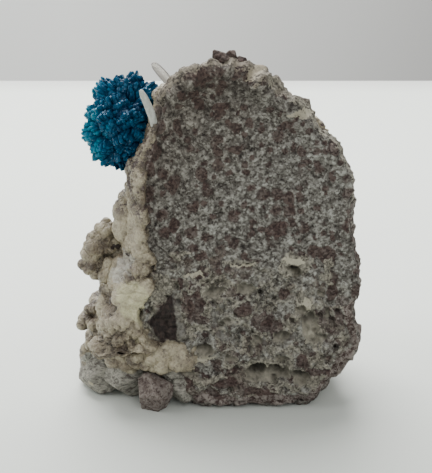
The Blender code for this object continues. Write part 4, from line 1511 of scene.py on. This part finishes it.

# %% [markdown]
# Table, light and camera
#
# The photograph is taken from a little above, with a long lens, on a pale table near a plain wall.
# The light is soft and comes mostly from above and behind, so the face that looks at the camera is
# in even shade and the rims are bright. Large area lamps and a pale world give that, and the table
# and the wall have light and shade painted on them.

# %% Table and wall
TABLE_EDGE_Y = 326 * MM
TABLE_HALF_WIDTH = 1.2
# painted light and shade on the table: darker near the camera, lit from behind further back, darker again at
# the far edge
TABLE_PAINTED_LIGHT = (
    (-0.07, (0.46, 0.485, 0.445)), (0.03, (0.75, 0.785, 0.73)), (0.16, (0.82, 0.86, 0.80)),
    (TABLE_EDGE_Y - 30 * MM, (0.81, 0.85, 0.79)), (TABLE_EDGE_Y, (0.62, 0.63, 0.60)),
)
WALL_Y = 620 * MM
WALL_HALF_WIDTH = 1.4
WALL_HEIGHTS = (-0.6, 0.9)
# painted light on the wall: lighter at the left, darker to the right
WALL_PAINTED_LIGHT = ((-0.10, (0.97, 0.98, 0.94)), (0.15, (0.56, 0.555, 0.535)))
CLOUD_GREY = (0.6, 0.6, 0.58)


def flat_stage(name, half_width, near, far, axis, painted_light_tints):
    """A flat sheet for the stage, with colours at places, in metres, along one axis.

    It is as wide as twice the half width in x, between two places given as (y, z). Its colours are
    painted light and shade.
    """
    mesh = bpy.data.meshes.new(name)
    corners = [(-half_width, *near), (half_width, *near), (half_width, *far), (-half_width, *far)]
    mesh.from_pydata(corners, [], [(0, 1, 2, 3)])
    paint = Finish(name)
    first, last = painted_light_tints[0][0], painted_light_tints[-1][0]
    stops = [((place - first) / (last - first), tint) for place, tint in painted_light_tints]
    paint.colour = paint.ramp(paint.edge(paint.axis(axis), first, last), *stops)
    paint.lay(CLOUD_GREY, paint.noise(60.0, 2.0), 0.06)
    paint.set(Base_Color=paint.colour, Roughness=0.6)
    mesh.materials.append(paint.material)
    link(name, mesh)
    print(name, "runs from y, z of", near, "to", far, "m")


flat_stage("table", TABLE_HALF_WIDTH, (-TABLE_HALF_WIDTH, 0), (TABLE_EDGE_Y, 0), "Y", TABLE_PAINTED_LIGHT)
flat_stage("wall", WALL_HALF_WIDTH, (WALL_Y, WALL_HEIGHTS[0]), (WALL_Y, WALL_HEIGHTS[1]), "X", WALL_PAINTED_LIGHT)

# %% Lamps and world: (name, place, size) in metres, and power in watts
LAMPS = [
    ("over_behind", (-0.10, 0.32, 0.62), 0.55, 12.0),
    ("front_fill", (0.25, -0.60, 0.45), 0.60, 2.8),
    ("left_fill", (-0.55, -0.10, 0.30), 0.40, 1.6),
]
AIM = Vector((0.0, 0.0, 0.03))
WORLD_COLOUR = (0.80, 0.82, 0.82, 1)
WORLD_STRENGTH = 0.55


def add_lamp(name, place, size, power):
    """A square area lamp whose face, along its own -Z, looks from its place to the aim."""
    lamp = bpy.data.lights.new(name, "AREA")
    lamp.size, lamp.energy = size, power
    holder = link(name, lamp)
    holder.location = place
    holder.rotation_euler = (AIM - Vector(place)).to_track_quat("-Z", "Y").to_euler()


for lamp_facts in LAMPS:
    add_lamp(*lamp_facts)
world = bpy.data.worlds.new("studio")
world.use_nodes = True
background = world.node_tree.nodes["Background"]
background.inputs["Color"].default_value = WORLD_COLOUR
background.inputs["Strength"].default_value = WORLD_STRENGTH
bpy.context.scene.world = world
print(len(LAMPS), "lamps, and a world of strength", WORLD_STRENGTH)

# %% Camera
CAMERA_TARGET = Vector((-0.9, -17.0, 30.2)) * MM
CAMERA_DISTANCE = 200 * MM
CAMERA_PITCH = math.radians(16.5)
CAMERA_LENS = 93
CAMERA_SENSOR = 36
camera = bpy.data.cameras.new("camera")
camera.lens, camera.sensor_width = CAMERA_LENS, CAMERA_SENSOR
camera.clip_start = 0.01
camera_holder = link("camera", camera)
backwards = Vector((0, -math.cos(CAMERA_PITCH), math.sin(CAMERA_PITCH)))
camera_holder.location = CAMERA_TARGET + CAMERA_DISTANCE * backwards
camera_holder.rotation_euler = (-backwards).to_track_quat("-Z", "Y").to_euler()
bpy.context.scene.camera = camera_holder
print("the camera stands at", [round(c / MM) for c in camera_holder.location], "mm")
